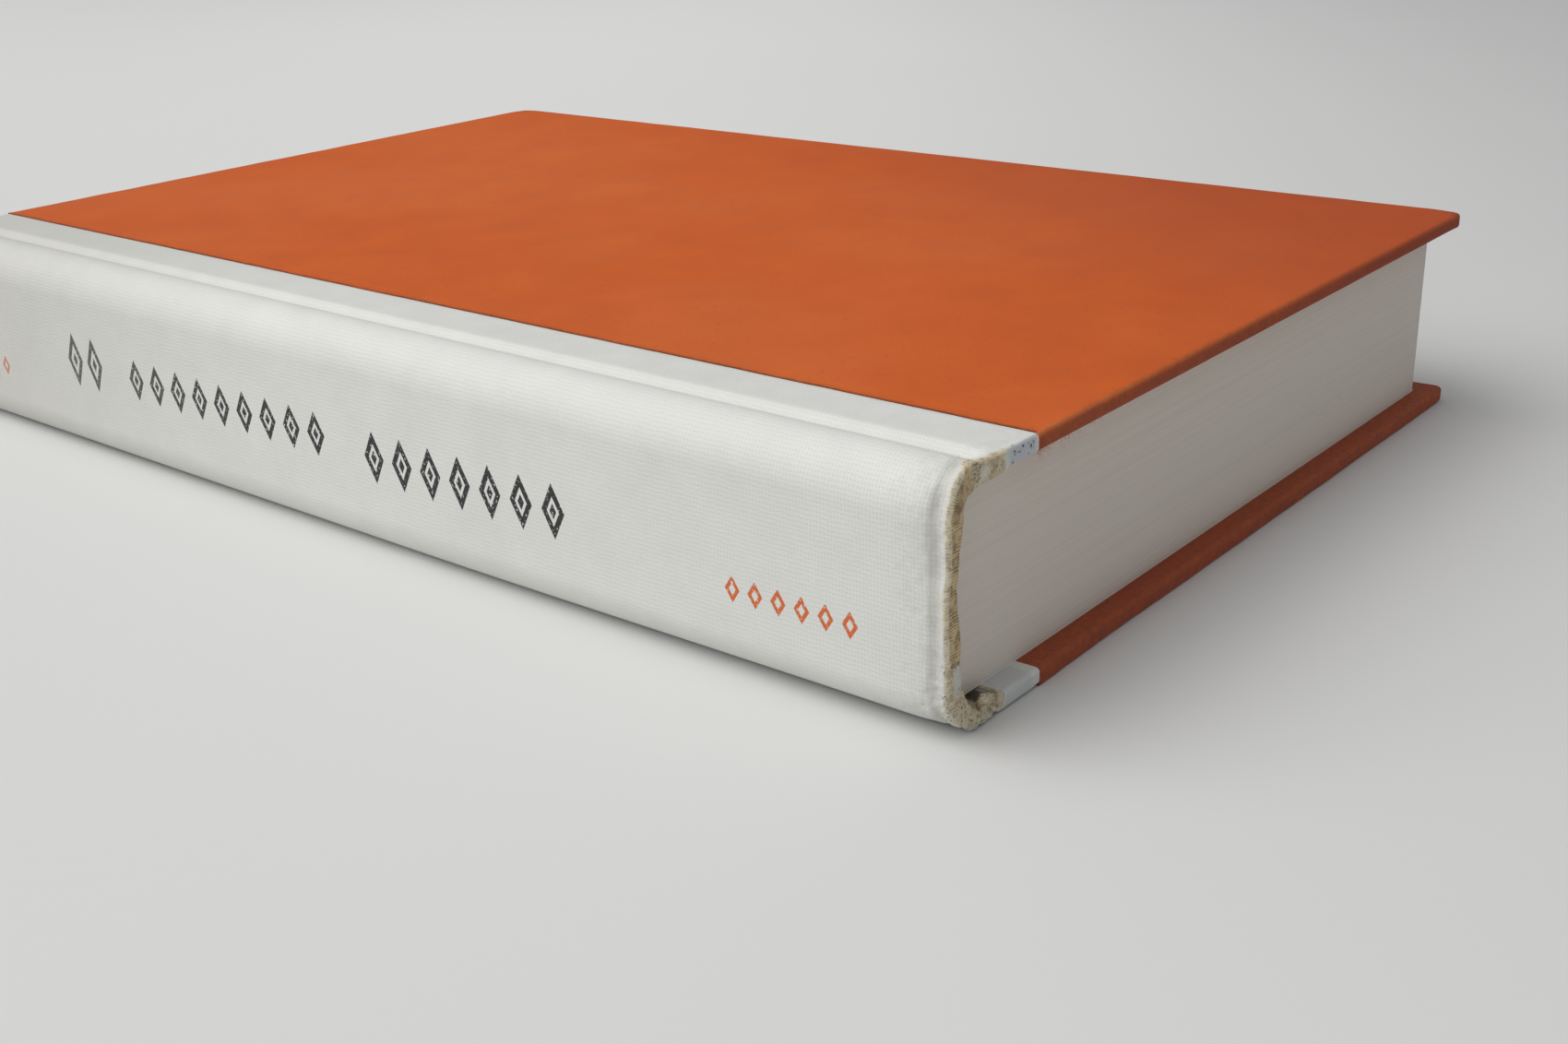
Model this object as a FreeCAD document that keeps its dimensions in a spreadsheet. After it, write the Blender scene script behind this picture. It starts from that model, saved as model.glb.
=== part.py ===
"""Quarter-cloth hardback book, closed and lying on its back cover.

Frame, in millimetres: X runs from the spine to the fore edge, Y from the tail to the
head, Z up. The origin is the middle of the closed book's footprint, on the table.

Each cover is a board with cloth beside the joint and paper over the rest, both turned in
over the board's edges. The block of leaves hangs in the case by its gauze and endpapers.
Each cover turns about its joint, so the gauze, cloth and endpapers are parted there.
"""
import FreeCAD, Part
import math
import os

import Sketcher

DRIVING_SIZES = {
    "page_tall": 209.5,      # trimmed leaves, tail to head
    "page_wide": 136.5,      # trimmed leaves, spine folds to fore edge
    "leaves_thick": 25.9,    # the pressed block without its endpapers
    "flyleaf_thick": 0.15,
    "paste_thick": 0.15,     # the endpaper leaf pasted to the board
    "square": 3.25,          # covered board past the leaves at head and tail
    "fore_square": 5.3,      # covered board past the leaves at the fore edge
    "board_thick": 1.9,
    "edge_round": 0.6,       # worn-soft edges of the bare board
    "joint_wide": 7.6,       # spine folds to the board's spine edge
    "quarter_wide": 7.3,     # cloth that shows on a board beside the joint
    "cloth_thick": 0.25,
    "paper_thick": 0.25,
    "turned_in": 15.0,       # cloth and paper folded over to the board's inside
    "mull_thick": 0.15,
    "mull_flange": 25.0,     # gauze pasted to each board
    "mull_short": 12.0,      # gauze stops this far from head and tail of the leaves
    "lining_thick": 0.2,
    "lining_short": 3.0,     # lining paper stops this far from head and tail of the leaves
    "inlay_thick": 0.8,
    "spine_stand": 2.9,      # spine folds to the outside of the spine cloth
    "ridge_inset": 5.1,      # outside of the spine to the crest of the shoulder
    "ridge_rise": 0.5,       # crest of the upper shoulder above the board's face
    "crown_round": 3.9,      # tight part of the shoulder, next to its crest
    "shoulder_drop": 5.9,    # crest of the shoulder to the flat of the spine
    "groove_deep": 1.0,      # bottom of the pressed joint below the board's face
    "groove_flat": 1.7,      # flat bottom of the joint
    "joint_clear": 0.4,      # joint cloth to the board's spine edge
    "roll_thick": 2.7,       # rolled cap at head and tail, through the spine
    "roll_long": 2.4,        # rolled cap, along the spine
}


def cell(name):
    """Return the expression that reads one driving size."""
    return f"<<driving dimensions>>.{name}"


LAYER = f"max({cell('paper_thick')}; {cell('cloth_thick')})"
INNER_LAYER = f"max({cell('paper_thick')}; {cell('cloth_thick')}; {cell('mull_thick')})"
BARE_TALL = f"({cell('page_tall')} + 2 * {cell('square')} - 2 * {LAYER})"
BARE_WIDE = f"({cell('page_wide')} - {cell('joint_wide')} + {cell('fore_square')} - {LAYER})"
FOLDS_X = f"(({cell('spine_stand')} - {cell('page_wide')} - {cell('fore_square')}) / 2)"
BOARD_X = f"({FOLDS_X} + {cell('joint_wide')})"
FLYLEAF_UP = f"({cell('leaves_thick')} / 2)"
PASTE_UP = f"({FLYLEAF_UP} + {cell('flyleaf_thick')})"
BOARD_UP = f"({PASTE_UP} + {cell('paste_thick')} + {INNER_LAYER})"
MIDDLE_Z = f"({BOARD_UP} + {cell('board_thick')} + {LAYER})"

FRONT, BACK = "front", "back"


def write_sizes(doc):
    """Make the sheet of driving dimensions and return it."""
    sheet = doc.addObject("Spreadsheet::Sheet", "Sizes")
    sheet.Label = "driving dimensions"
    for row, (name, value) in enumerate(DRIVING_SIZES.items(), start=1):
        sheet.set(f"A{row}", name)
        sheet.set(f"B{row}", str(value))
        sheet.setAlias(f"B{row}", name)
    doc.recompute()
    return sheet


def bind(thing, bindings):
    """Bind properties of an object to expressions on the driving sizes."""
    for path, expression in bindings.items():
        thing.setExpression(path, expression)


def plane_of(body, role):
    """Return the origin plane of a body by its role."""
    return next(item for item in body.Origin.OriginFeatures if item.Role == role)


def rectangle(body, name, low_x, low_y, wide, tall):
    """Draw a constrained rectangle on the body's own XY plane."""
    sketch = body.newObject("Sketcher::SketchObject", name)
    sketch.AttachmentSupport = (plane_of(body, "XY_Plane"), [""])
    sketch.MapMode = "FlatFace"
    corners = [(1, 1), (3, 1), (3, 2), (1, 2)]
    points = [FreeCAD.Vector(x, y, 0) for x, y in corners]
    for here, there in zip(points, points[1:] + points[:1]):
        sketch.addGeometry(Part.LineSegment(here, there), False)
    for line in range(4):
        sketch.addConstraint(Sketcher.Constraint("Coincident", line, 2, (line + 1) % 4, 1))
        kind = "Horizontal" if line % 2 == 0 else "Vertical"
        sketch.addConstraint(Sketcher.Constraint(kind, line))
    origin = (-1, 1)
    sized = {
        "wide": ("DistanceX", (0, 1, 0, 2), wide),
        "tall": ("DistanceY", (1, 1, 1, 2), tall),
        "low_x": ("DistanceX", (*origin, 0, 1), low_x),
        "low_y": ("DistanceY", (*origin, 0, 1), low_y),
    }
    for label, (kind, places, expression) in sized.items():
        index = sketch.addConstraint(Sketcher.Constraint(kind, *places, 1.0))
        sketch.renameConstraint(index, label)
        sketch.setExpression(f"Constraints.{label}", expression)
    return sketch


def pad(body, name, sketch, length):
    """Pad a sketch upwards by an expression."""
    feature = body.newObject("PartDesign::Pad", name)
    feature.Profile = sketch
    feature.setExpression("Length", length)
    return feature


def pocket_up(body, name, sketch, depth):
    """Cut upwards from a sketch by an expression."""
    feature = body.newObject("PartDesign::Pocket", name)
    feature.Profile = sketch
    feature.Reversed = True
    feature.setExpression("Length", depth)
    return feature


def place(thing, side, low_x, half_tall, up):
    """Seat a piece modelled with +Z outward at a height above the book's middle.

    The back cover's pieces are the front's turned over about X.
    """
    outward = 1 if side == FRONT else -1
    turn = FreeCAD.Rotation(FreeCAD.Vector(1, 0, 0), 0 if side == FRONT else 180)
    thing.Placement = FreeCAD.Placement(FreeCAD.Vector(), turn)
    bind(thing, {
        "Placement.Base.x": low_x,
        "Placement.Base.y": f"{-outward} * {half_tall}",
        "Placement.Base.z": f"{MIDDLE_Z} + {outward} * {up}",
    })


def new_body(doc, label):
    """Add a body with a name of its own."""
    body = doc.addObject("PartDesign::Body", f"Body_{label}")
    body.Label = label
    return body


def round_edges(doc, body, source, radius, fore_too):
    """Round a padded board's head and tail edges, and its fore edges and corners."""
    doc.recompute()
    box = source.Shape.BoundBox
    names = []
    for number, edge in enumerate(source.Shape.Edges, start=1):
        centre = edge.BoundBox.Center
        along_x = edge.BoundBox.XLength > box.XLength / 2
        at_fore = abs(centre.x - box.XMax) < 1e-6
        if along_x or (fore_too and at_fore):
            names.append(f"Edge{number}")
    fillet = body.newObject("PartDesign::Fillet", "SoftEdges")
    fillet.Base = (source, names)
    fillet.setExpression("Radius", radius)
    return fillet


def make_board(doc, side):
    """Make one bare board."""
    body = new_body(doc, f"{side}_board")
    outline = rectangle(body, "Outline", "0", "0", BARE_WIDE, BARE_TALL)
    slab = pad(body, "Slab", outline, cell("board_thick"))
    round_edges(doc, body, slab, cell("edge_round"), fore_too=True)
    place(body, side, BOARD_X, f"{BARE_TALL} / 2", BOARD_UP)
    return body


def make_wrap(doc, side, kind, board, low_x, wide, fore_too):
    """Make a sheet wrapped round a board: outside, edges and turned-in margin.

    A block round the board is softened, opened on its inside between the turned-in
    margins and emptied of the board.
    """
    thick = cell(f"{kind}_thick")
    tall = f"({BARE_TALL} + 2 * {thick})"
    body = new_body(doc, f"{side}_{kind}_block")
    outline = rectangle(body, "Outline", "0", "0", wide, tall)
    block = pad(body, "Block", outline, f"{cell('board_thick')} + 2 * {thick}")
    round_edges(doc, body, block, f"{cell('edge_round')} + {thick}", fore_too)
    open_wide = f"{wide} - {cell('turned_in')}" if fore_too else wide
    window = rectangle(body, "Window", "0", cell("turned_in"), open_wide,
                       f"{tall} - 2 * {cell('turned_in')}")
    pocket_up(body, "Opened", window, thick)
    place(body, side, low_x, f"{tall} / 2", f"({BOARD_UP} - {thick})")
    sheet = doc.addObject("Part::Cut", f"Cut_{side}_{kind}")
    sheet.Base = body
    sheet.Tool = board
    sheet.Label = f"{side}_{kind}"
    return sheet


def make_pastedown(doc, side):
    """Make the pasted leaf: flat over the turn-ins and gauze, sunk to the board inside."""
    body = new_body(doc, f"{side}_pastedown")
    wide = f"({cell('page_wide')} - {cell('joint_wide')})"
    outline = rectangle(body, "Outline", "0", "0", wide, cell("page_tall"))
    pad(body, "Leaf", outline, cell("paste_thick"))
    margin_y = f"({cell('turned_in')} - {cell('square')})"
    sunk_wide = f"({wide} + {cell('fore_square')} - {cell('turned_in')} - {cell('mull_flange')})"
    sunk_tall = f"({cell('page_tall')} - 2 * {margin_y})"
    sunk = rectangle(body, "Sunk", cell("mull_flange"), margin_y, sunk_wide, sunk_tall)
    pad(body, "SunkLeaf", sunk, f"{cell('paste_thick')} + {INNER_LAYER}")
    hollow = rectangle(
        body, "Hollow", f"{cell('mull_flange')} + {cell('paste_thick')}",
        f"{margin_y} + {cell('paste_thick')}", f"{sunk_wide} - 2 * {cell('paste_thick')}",
        f"{sunk_tall} - 2 * {cell('paste_thick')}")
    pocket_up(body, "Hollowed", hollow, INNER_LAYER)
    place(body, side, BOARD_X, f"{cell('page_tall')} / 2", PASTE_UP)
    return body


def make_flyleaf(doc, side):
    """Make the free endpaper that lies on the leaves."""
    leaf = doc.addObject("Part::Box", f"Leaf_{side}")
    leaf.Label = f"{side}_flyleaf"
    bind(leaf, {"Length": cell("page_wide"), "Width": cell("page_tall"),
                "Height": cell("flyleaf_thick")})
    place(leaf, side, FOLDS_X, f"{cell('page_tall')} / 2", FLYLEAF_UP)
    return leaf


def make_mull_flange(doc, side):
    """Make the gauze pasted to the inside of a board."""
    flange = doc.addObject("Part::Box", f"Flange_{side}")
    flange.Label = f"{side}_mull_flange"
    tall = f"({cell('page_tall')} - 2 * {cell('mull_short')})"
    bind(flange, {"Length": cell("mull_flange"), "Width": tall, "Height": cell("mull_thick")})
    place(flange, side, BOARD_X, f"{tall} / 2", f"({BOARD_UP} - {cell('mull_thick')})")
    return flange


def make_text_block(doc):
    """Make the pressed and trimmed leaves."""
    body = new_body(doc, "text_block")
    outline = rectangle(body, "Outline", "0", "0", cell("page_wide"), cell("page_tall"))
    pad(body, "Leaves", outline, cell("leaves_thick"))
    place(body, FRONT, FOLDS_X, f"{cell('page_tall')} / 2", f"(-{FLYLEAF_UP})")
    return body


def make_backing(doc, label, thick, behind, short):
    """Make a layer glued along the backs of the sections."""
    layer = doc.addObject("Part::Box", f"Layer_{label}")
    layer.Label = label
    tall = f"({cell('page_tall')} - 2 * {short})"
    bind(layer, {"Length": thick, "Width": tall, "Height": cell("leaves_thick")})
    place(layer, FRONT, f"{FOLDS_X} - {behind} - {thick}", f"{tall} / 2", f"(-{FLYLEAF_UP})")
    return layer


class SpineSection:
    """Lines and arcs across the spine, at any depth under the cloth's outside."""

    def __init__(self, sheet):
        self.size = {name: float(sheet.get(name)) for name in DRIVING_SIZES}
        size = self.size
        self.layer = max(size["paper_thick"], size["cloth_thick"])
        inner = max(self.layer, size["mull_thick"])
        self.half_thick = (size["leaves_thick"] / 2 + size["flyleaf_thick"]
                           + size["paste_thick"] + inner + size["board_thick"] + self.layer)
        self.half_tall = size["page_tall"] / 2 + size["square"]
        self.folds_x = (size["spine_stand"] - size["page_wide"] - size["fore_square"]) / 2
        self.spine_x = self.folds_x - size["spine_stand"]
        self.ridge_x = self.spine_x + size["ridge_inset"]
        self.end_x = self.folds_x + size["joint_wide"] - size["joint_clear"]
        self.low_y = -self.half_tall

    def point(self, side, x, up):
        """Return a point, with up counted from the book's middle towards a side."""
        toward = 1 if side == FRONT else -1
        return FreeCAD.Vector(x, self.low_y, self.half_thick + toward * up)

    def arc(self, side, centre, radius, begin, end):
        """Return an arc as three points, from one angle to another in degrees."""
        points = []
        for angle in (begin, (begin + end) / 2, end):
            turn = math.radians(angle)
            points.append(self.point(side, centre[0] + radius * math.cos(turn),
                                     centre[1] + radius * math.sin(turn)))
        return tuple(points)

    def joint(self, side, depth):
        """Return the pressed joint: flat groove, hollow, ridge and crown."""
        size = self.size
        crest = self.half_thick + (size["ridge_rise"] if side == FRONT else 0.0)
        bottom = self.half_thick - size["groove_deep"]
        groove_x = self.end_x - size["groove_flat"]
        across, drop = groove_x - self.ridge_x, crest - bottom
        bend = (across ** 2 + drop ** 2) / (4 * drop)
        swing = math.degrees(math.asin(across / (2 * bend)))
        tilt = self.shoulder_angle()
        crown = size["crown_round"]
        return [
            (self.point(side, self.end_x, bottom - depth),
             self.point(side, groove_x, bottom - depth)),
            self.arc(side, (groove_x, bottom + bend), bend + depth, -90, -90 - swing),
            self.arc(side, (self.ridge_x, crest - bend), bend - depth, 90 - swing, 90),
            self.arc(side, (self.ridge_x, crest - crown), crown - depth, 90, tilt),
        ]

    def shoulder_round(self):
        """Return the radius that leads the crown into the flat of the spine."""
        size = self.size
        reach, drop, crown = size["ridge_inset"], size["shoulder_drop"], size["crown_round"]
        return (reach ** 2 + (drop - crown) ** 2 - crown ** 2) / (2 * (reach - crown))

    def shoulder_angle(self):
        """Return the angle at which the crown meets the shoulder, in degrees."""
        size = self.size
        rise = size["shoulder_drop"] - size["crown_round"]
        run = self.ridge_x - (self.spine_x + self.shoulder_round())
        return math.degrees(math.atan2(rise, run))

    def shoulder(self, side, depth):
        """Return the arc from the crown to the flat of the spine."""
        size = self.size
        crest = self.half_thick + (size["ridge_rise"] if side == FRONT else 0.0)
        radius = self.shoulder_round()
        centre = (self.spine_x + radius, crest - size["shoulder_drop"])
        return self.arc(side, centre, radius - depth, self.shoulder_angle(), 180)

    def back(self, depth):
        """Return the path from the front shoulder over the spine to the back one."""
        front = self.shoulder(FRONT, depth)
        back = self.shoulder(BACK, depth)[::-1]
        return [front, (front[-1], back[0]), back]

    def whole(self, depth):
        """Return the path from joint to joint."""
        back_joint = [piece[::-1] for piece in reversed(self.joint(BACK, depth))]
        return self.joint(FRONT, depth) + self.back(depth) + back_joint

    def band(self, path, outside, inside, start, length):
        """Extrude the strip between two depths of a path along the spine."""
        outer, inner = path(outside), path(inside)
        loop = outer + [(outer[-1][-1], inner[-1][-1])]
        loop += [piece[::-1] for piece in reversed(inner)]
        loop.append((inner[0][0], outer[0][0]))
        edges = [Part.Arc(*piece).toShape() if len(piece) == 3
                 else Part.makeLine(*piece) for piece in loop]
        strip = Part.Face(Part.Wire(edges)).extrude(FreeCAD.Vector(0, length, 0))
        strip.translate(FreeCAD.Vector(0, start, 0))
        return strip


def make_spine_inlay(doc, section):
    """Make the card that stiffens the spine, between the rolled caps."""
    size = section.size
    cloth = size["cloth_thick"]
    card = doc.addObject("Part::Feature", "Card")
    card.Label = "spine_inlay"
    card.Shape = section.band(section.back, cloth, cloth + size["inlay_thick"],
                              size["roll_long"], 2 * (section.half_tall - size["roll_long"]))
    return card


def make_spine_cloth(doc, section):
    """Make the cloth of the spine and joints, turned in and rolled at head and tail."""
    size = section.size
    cloth, inlay = size["cloth_thick"], size["inlay_thick"]
    turned, roll = size["turned_in"], size["roll_long"]
    tall = 2 * section.half_tall
    pieces = [section.band(section.whole, 0, cloth, 0, tall)]
    for start, roll_start, turned_start in ((0, 0, roll), (tall - turned, tall - roll, tall - turned)):
        for side in (FRONT, BACK):
            pieces.append(section.band(lambda depth: section.joint(side, depth),
                                       cloth, 2 * cloth, start, turned))
        pieces.append(section.band(section.back, cloth, size["roll_thick"], roll_start, roll))
        pieces.append(section.band(section.back, cloth + inlay, 2 * cloth + inlay,
                                   turned_start, turned - roll))
    cloth_strip = doc.addObject("Part::Feature", "Cloth")
    cloth_strip.Label = "spine_cloth"
    cloth_strip.Shape = pieces[0].fuse(pieces[1:]).removeSplitter()
    return cloth_strip


def build(doc):
    """Build every piece of the book and return them."""
    sheet = write_sizes(doc)
    section = SpineSection(sheet)
    pieces = [
        make_text_block(doc),
        make_backing(doc, "spine_mull", cell("mull_thick"), "0", cell("mull_short")),
        make_backing(doc, "spine_lining", cell("lining_thick"), cell("mull_thick"),
                     cell("lining_short")),
        make_spine_inlay(doc, section),
        make_spine_cloth(doc, section),
    ]
    for side in (FRONT, BACK):
        board = make_board(doc, side)
        paper_x = f"({BOARD_X} + {cell('quarter_wide')})"
        paper_wide = f"({BARE_WIDE} - {cell('quarter_wide')} + {cell('paper_thick')})"
        pieces += [
            board,
            make_wrap(doc, side, "cloth", board, BOARD_X, cell("quarter_wide"), False),
            make_wrap(doc, side, "paper", board, paper_x, paper_wide, True),
            make_pastedown(doc, side),
            make_flyleaf(doc, side),
            make_mull_flange(doc, side),
        ]
    return pieces


def check(doc, pieces):
    """Stop if any object failed or any piece is empty, broken or in several parts."""
    for item in doc.Objects:
        if {"Invalid", "Error"} & set(item.State):
            raise RuntimeError(f"{item.Label} failed: {item.State}")
    for piece in pieces:
        shape = piece.Shape
        if shape.isNull() or not shape.isValid() or len(shape.Solids) != 1:
            raise RuntimeError(f"{piece.Label} is not one valid solid")


def main():
    """Build the book and write one file for each piece."""
    doc = FreeCAD.newDocument("HardbackBook")
    pieces = build(doc)
    doc.recompute()
    check(doc, pieces)
    os.makedirs("parts", exist_ok=True)
    for piece in pieces:
        piece.Shape.exportStep(os.path.join("parts", f"{piece.Label}.step"))
        print(f"{piece.Label}: {piece.Shape.Volume:.1f} mm3")


main()
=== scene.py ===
"""A closed hardback book with a cloth spine and orange paper sides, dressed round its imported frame.

The mesh code works in millimetres in the frame's own axes: +X from the spine to the fore edge, +Y from the tail to the
head, +Z up through the front cover. MM turns a length into metres when a mesh is made.
"""

import logging
import math
from dataclasses import dataclass, field
from enum import Enum

import bmesh
import bpy
import numpy as np
from mathutils import Matrix, Vector

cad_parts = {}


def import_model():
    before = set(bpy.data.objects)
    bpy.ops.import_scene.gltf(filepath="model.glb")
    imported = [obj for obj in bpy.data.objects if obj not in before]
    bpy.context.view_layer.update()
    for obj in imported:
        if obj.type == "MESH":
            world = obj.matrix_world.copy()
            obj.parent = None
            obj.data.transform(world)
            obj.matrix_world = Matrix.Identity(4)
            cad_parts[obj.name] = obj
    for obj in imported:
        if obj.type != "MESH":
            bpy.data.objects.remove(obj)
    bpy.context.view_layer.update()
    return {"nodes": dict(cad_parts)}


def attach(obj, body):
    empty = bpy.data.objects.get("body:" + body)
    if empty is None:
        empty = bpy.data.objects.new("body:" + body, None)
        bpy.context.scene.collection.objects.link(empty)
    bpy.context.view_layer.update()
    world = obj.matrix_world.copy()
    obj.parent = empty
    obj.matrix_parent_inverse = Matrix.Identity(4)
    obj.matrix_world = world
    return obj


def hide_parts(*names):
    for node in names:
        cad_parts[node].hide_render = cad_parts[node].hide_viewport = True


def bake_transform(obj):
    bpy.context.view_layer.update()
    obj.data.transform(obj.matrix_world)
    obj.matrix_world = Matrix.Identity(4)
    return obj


LOG = logging.getLogger("book")
MM = 0.001

Color = tuple[float, float, float]
Socket = bpy.types.NodeSocket


class Side(Enum):
    """The two covers: the name their CAD nodes start with."""

    FRONT = "front"
    BACK = "back"

    @property
    def up(self) -> float:
        """Return +1 where the cover lies above the leaves and -1 where it lies below."""
        return 1.0 if self is Side.FRONT else -1.0


# ---------------------------------------------------------------------------------------------- numbers and grids


def ease(t: np.ndarray | float) -> np.ndarray:
    """Return the smooth step 3t^2 - 2t^3 of t held between 0 and 1."""
    t = np.clip(t, 0.0, 1.0)
    return t * t * (3.0 - 2.0 * t)


def hump(x: np.ndarray, middle: float, half: float) -> np.ndarray:
    """Return a smooth bump: 1 at middle, 0 from half a width away."""
    return ease(1.0 - np.abs(x - middle) / half)


def stations(*runs: tuple[float, float, int]) -> np.ndarray:
    """Join evenly spaced runs of numbers into one rising row.

    Args:
        runs: (start, end, number of steps) of each run; a run starts where the last one ended.

    Returns:
        The numbers, each once.
    """
    parts = [np.linspace(a, b, n, endpoint=False) for a, b, n in runs]
    return np.concatenate([*parts, [runs[-1][1]]])


class Grain:
    """Repeatable smooth noise: random numbers on a cubic lattice, joined by smooth steps."""

    def __init__(self, seed: int, size: int = 48) -> None:
        """Fill the lattice from a seed."""
        self.size = size
        self.table = np.random.default_rng(seed).uniform(-1.0, 1.0, (size, size, size))

    def at(self, points: np.ndarray, reach: float) -> np.ndarray:
        """Read the noise, from -1 to 1.

        Args:
            points: array of points, last axis x, y, z, in millimetres.
            reach: distance between lattice points, in millimetres.

        Returns:
            One number for each point.
        """
        scaled = points / reach
        cell = np.floor(scaled).astype(int)
        part = ease(scaled - cell)
        total = np.zeros(points.shape[:-1])
        for corner in np.ndindex(2, 2, 2):
            near = np.array(corner)
            weight = np.prod(np.where(near == 1, part, 1.0 - part), axis=-1)
            index = np.mod(cell + near, self.size)
            total += weight * self.table[index[..., 0], index[..., 1], index[..., 2]]
        return total

    def line(self, along: np.ndarray, reach: float, lane: float = 0.0) -> np.ndarray:
        """Read the noise along one line, lane millimetres beside the first."""
        points = np.stack([along, np.full_like(along, lane), np.full_like(along, 0.5 * reach)], axis=-1)
        return self.at(points, reach)


def normals_of(points: np.ndarray) -> np.ndarray:
    """Return the unit normals of a grid of points: the cross product of its two directions."""
    down, across = np.gradient(points, axis=0), np.gradient(points, axis=1)
    normal = np.cross(down, across)
    return normal / np.maximum(np.linalg.norm(normal, axis=-1, keepdims=True), 1e-12)


def grid_mesh(
    name: str,
    points: np.ndarray,
    flip: bool = False,
    wrap: bool = False,
    uv: np.ndarray | None = None,
    masks: dict[str, np.ndarray] | None = None,
) -> bpy.types.Object:
    """Make an object from a grid of points.

    Args:
        name: object name.
        points: (rows, columns, 3) in millimetres.
        flip: turns the faces over.
        wrap: joins the last column to the first.
        uv: (rows, columns, 2) map coordinates, in metres.
        masks: values from 0 to 1 for each point, kept as attributes.

    Returns:
        The object, at the origin.
    """
    rows, cols = points.shape[:2]
    index = np.arange(rows * cols).reshape(rows, cols)
    right = np.roll(index, -1, axis=1) if wrap else index[:, 1:]
    left = index if wrap else index[:, :-1]
    quads = np.stack([left[:-1], left[1:], right[1:], right[:-1]], axis=-1).reshape(-1, 4)
    if flip:
        quads = quads[:, ::-1]
    mesh = bpy.data.meshes.new(name)
    mesh.vertices.add(rows * cols)
    mesh.vertices.foreach_set("co", (points.reshape(-1, 3) * MM).astype(np.float32).ravel())
    mesh.loops.add(quads.size)
    mesh.loops.foreach_set("vertex_index", quads.ravel().astype(np.int32))
    mesh.polygons.add(len(quads))
    mesh.polygons.foreach_set("loop_start", np.arange(0, quads.size, 4, dtype=np.int32))
    mesh.update(calc_edges=True)
    mesh.polygons.foreach_set("use_smooth", np.ones(len(quads), bool))
    if uv is not None:
        layer = mesh.uv_layers.new(name="Map")
        layer.data.foreach_set("uv", uv.reshape(-1, 2)[quads.ravel()].astype(np.float32).ravel())
    for key, values in (masks or {}).items():
        attribute = mesh.attributes.new(key, "FLOAT", "POINT")
        attribute.data.foreach_set("value", np.clip(values, 0.0, 1.0).astype(np.float32).ravel())
    mesh.validate()
    piece = bpy.data.objects.new(name, mesh)
    bpy.context.scene.collection.objects.link(piece)
    return piece


def weld(piece: bpy.types.Object, reach: float = 0.002) -> None:
    """Merge the points of a piece that lie within reach millimetres, to close its seams and poles."""
    work = bmesh.new()
    work.from_mesh(piece.data)
    bmesh.ops.remove_doubles(work, verts=work.verts, dist=reach * MM)
    work.to_mesh(piece.data)
    work.free()


def thicken(piece: bpy.types.Object, thick: float) -> None:
    """Give a sheet its thickness, in millimetres, inwards from its outer face, and keep the result as its mesh."""
    wall = piece.modifiers.new("Thickness", "SOLIDIFY")
    wall.thickness = thick * MM
    wall.offset = -1.0
    wall.use_even_offset = False
    graph = bpy.context.evaluated_depsgraph_get()
    solid = bpy.data.meshes.new_from_object(piece.evaluated_get(graph), depsgraph=graph)
    piece.modifiers.clear()
    flat, piece.data = piece.data, solid
    solid.name = piece.name
    solid.set_sharp_from_angle(angle=math.radians(55.0))
    bpy.data.meshes.remove(flat)


# ---------------------------------------------------------------------------------------------- shader work


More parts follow.
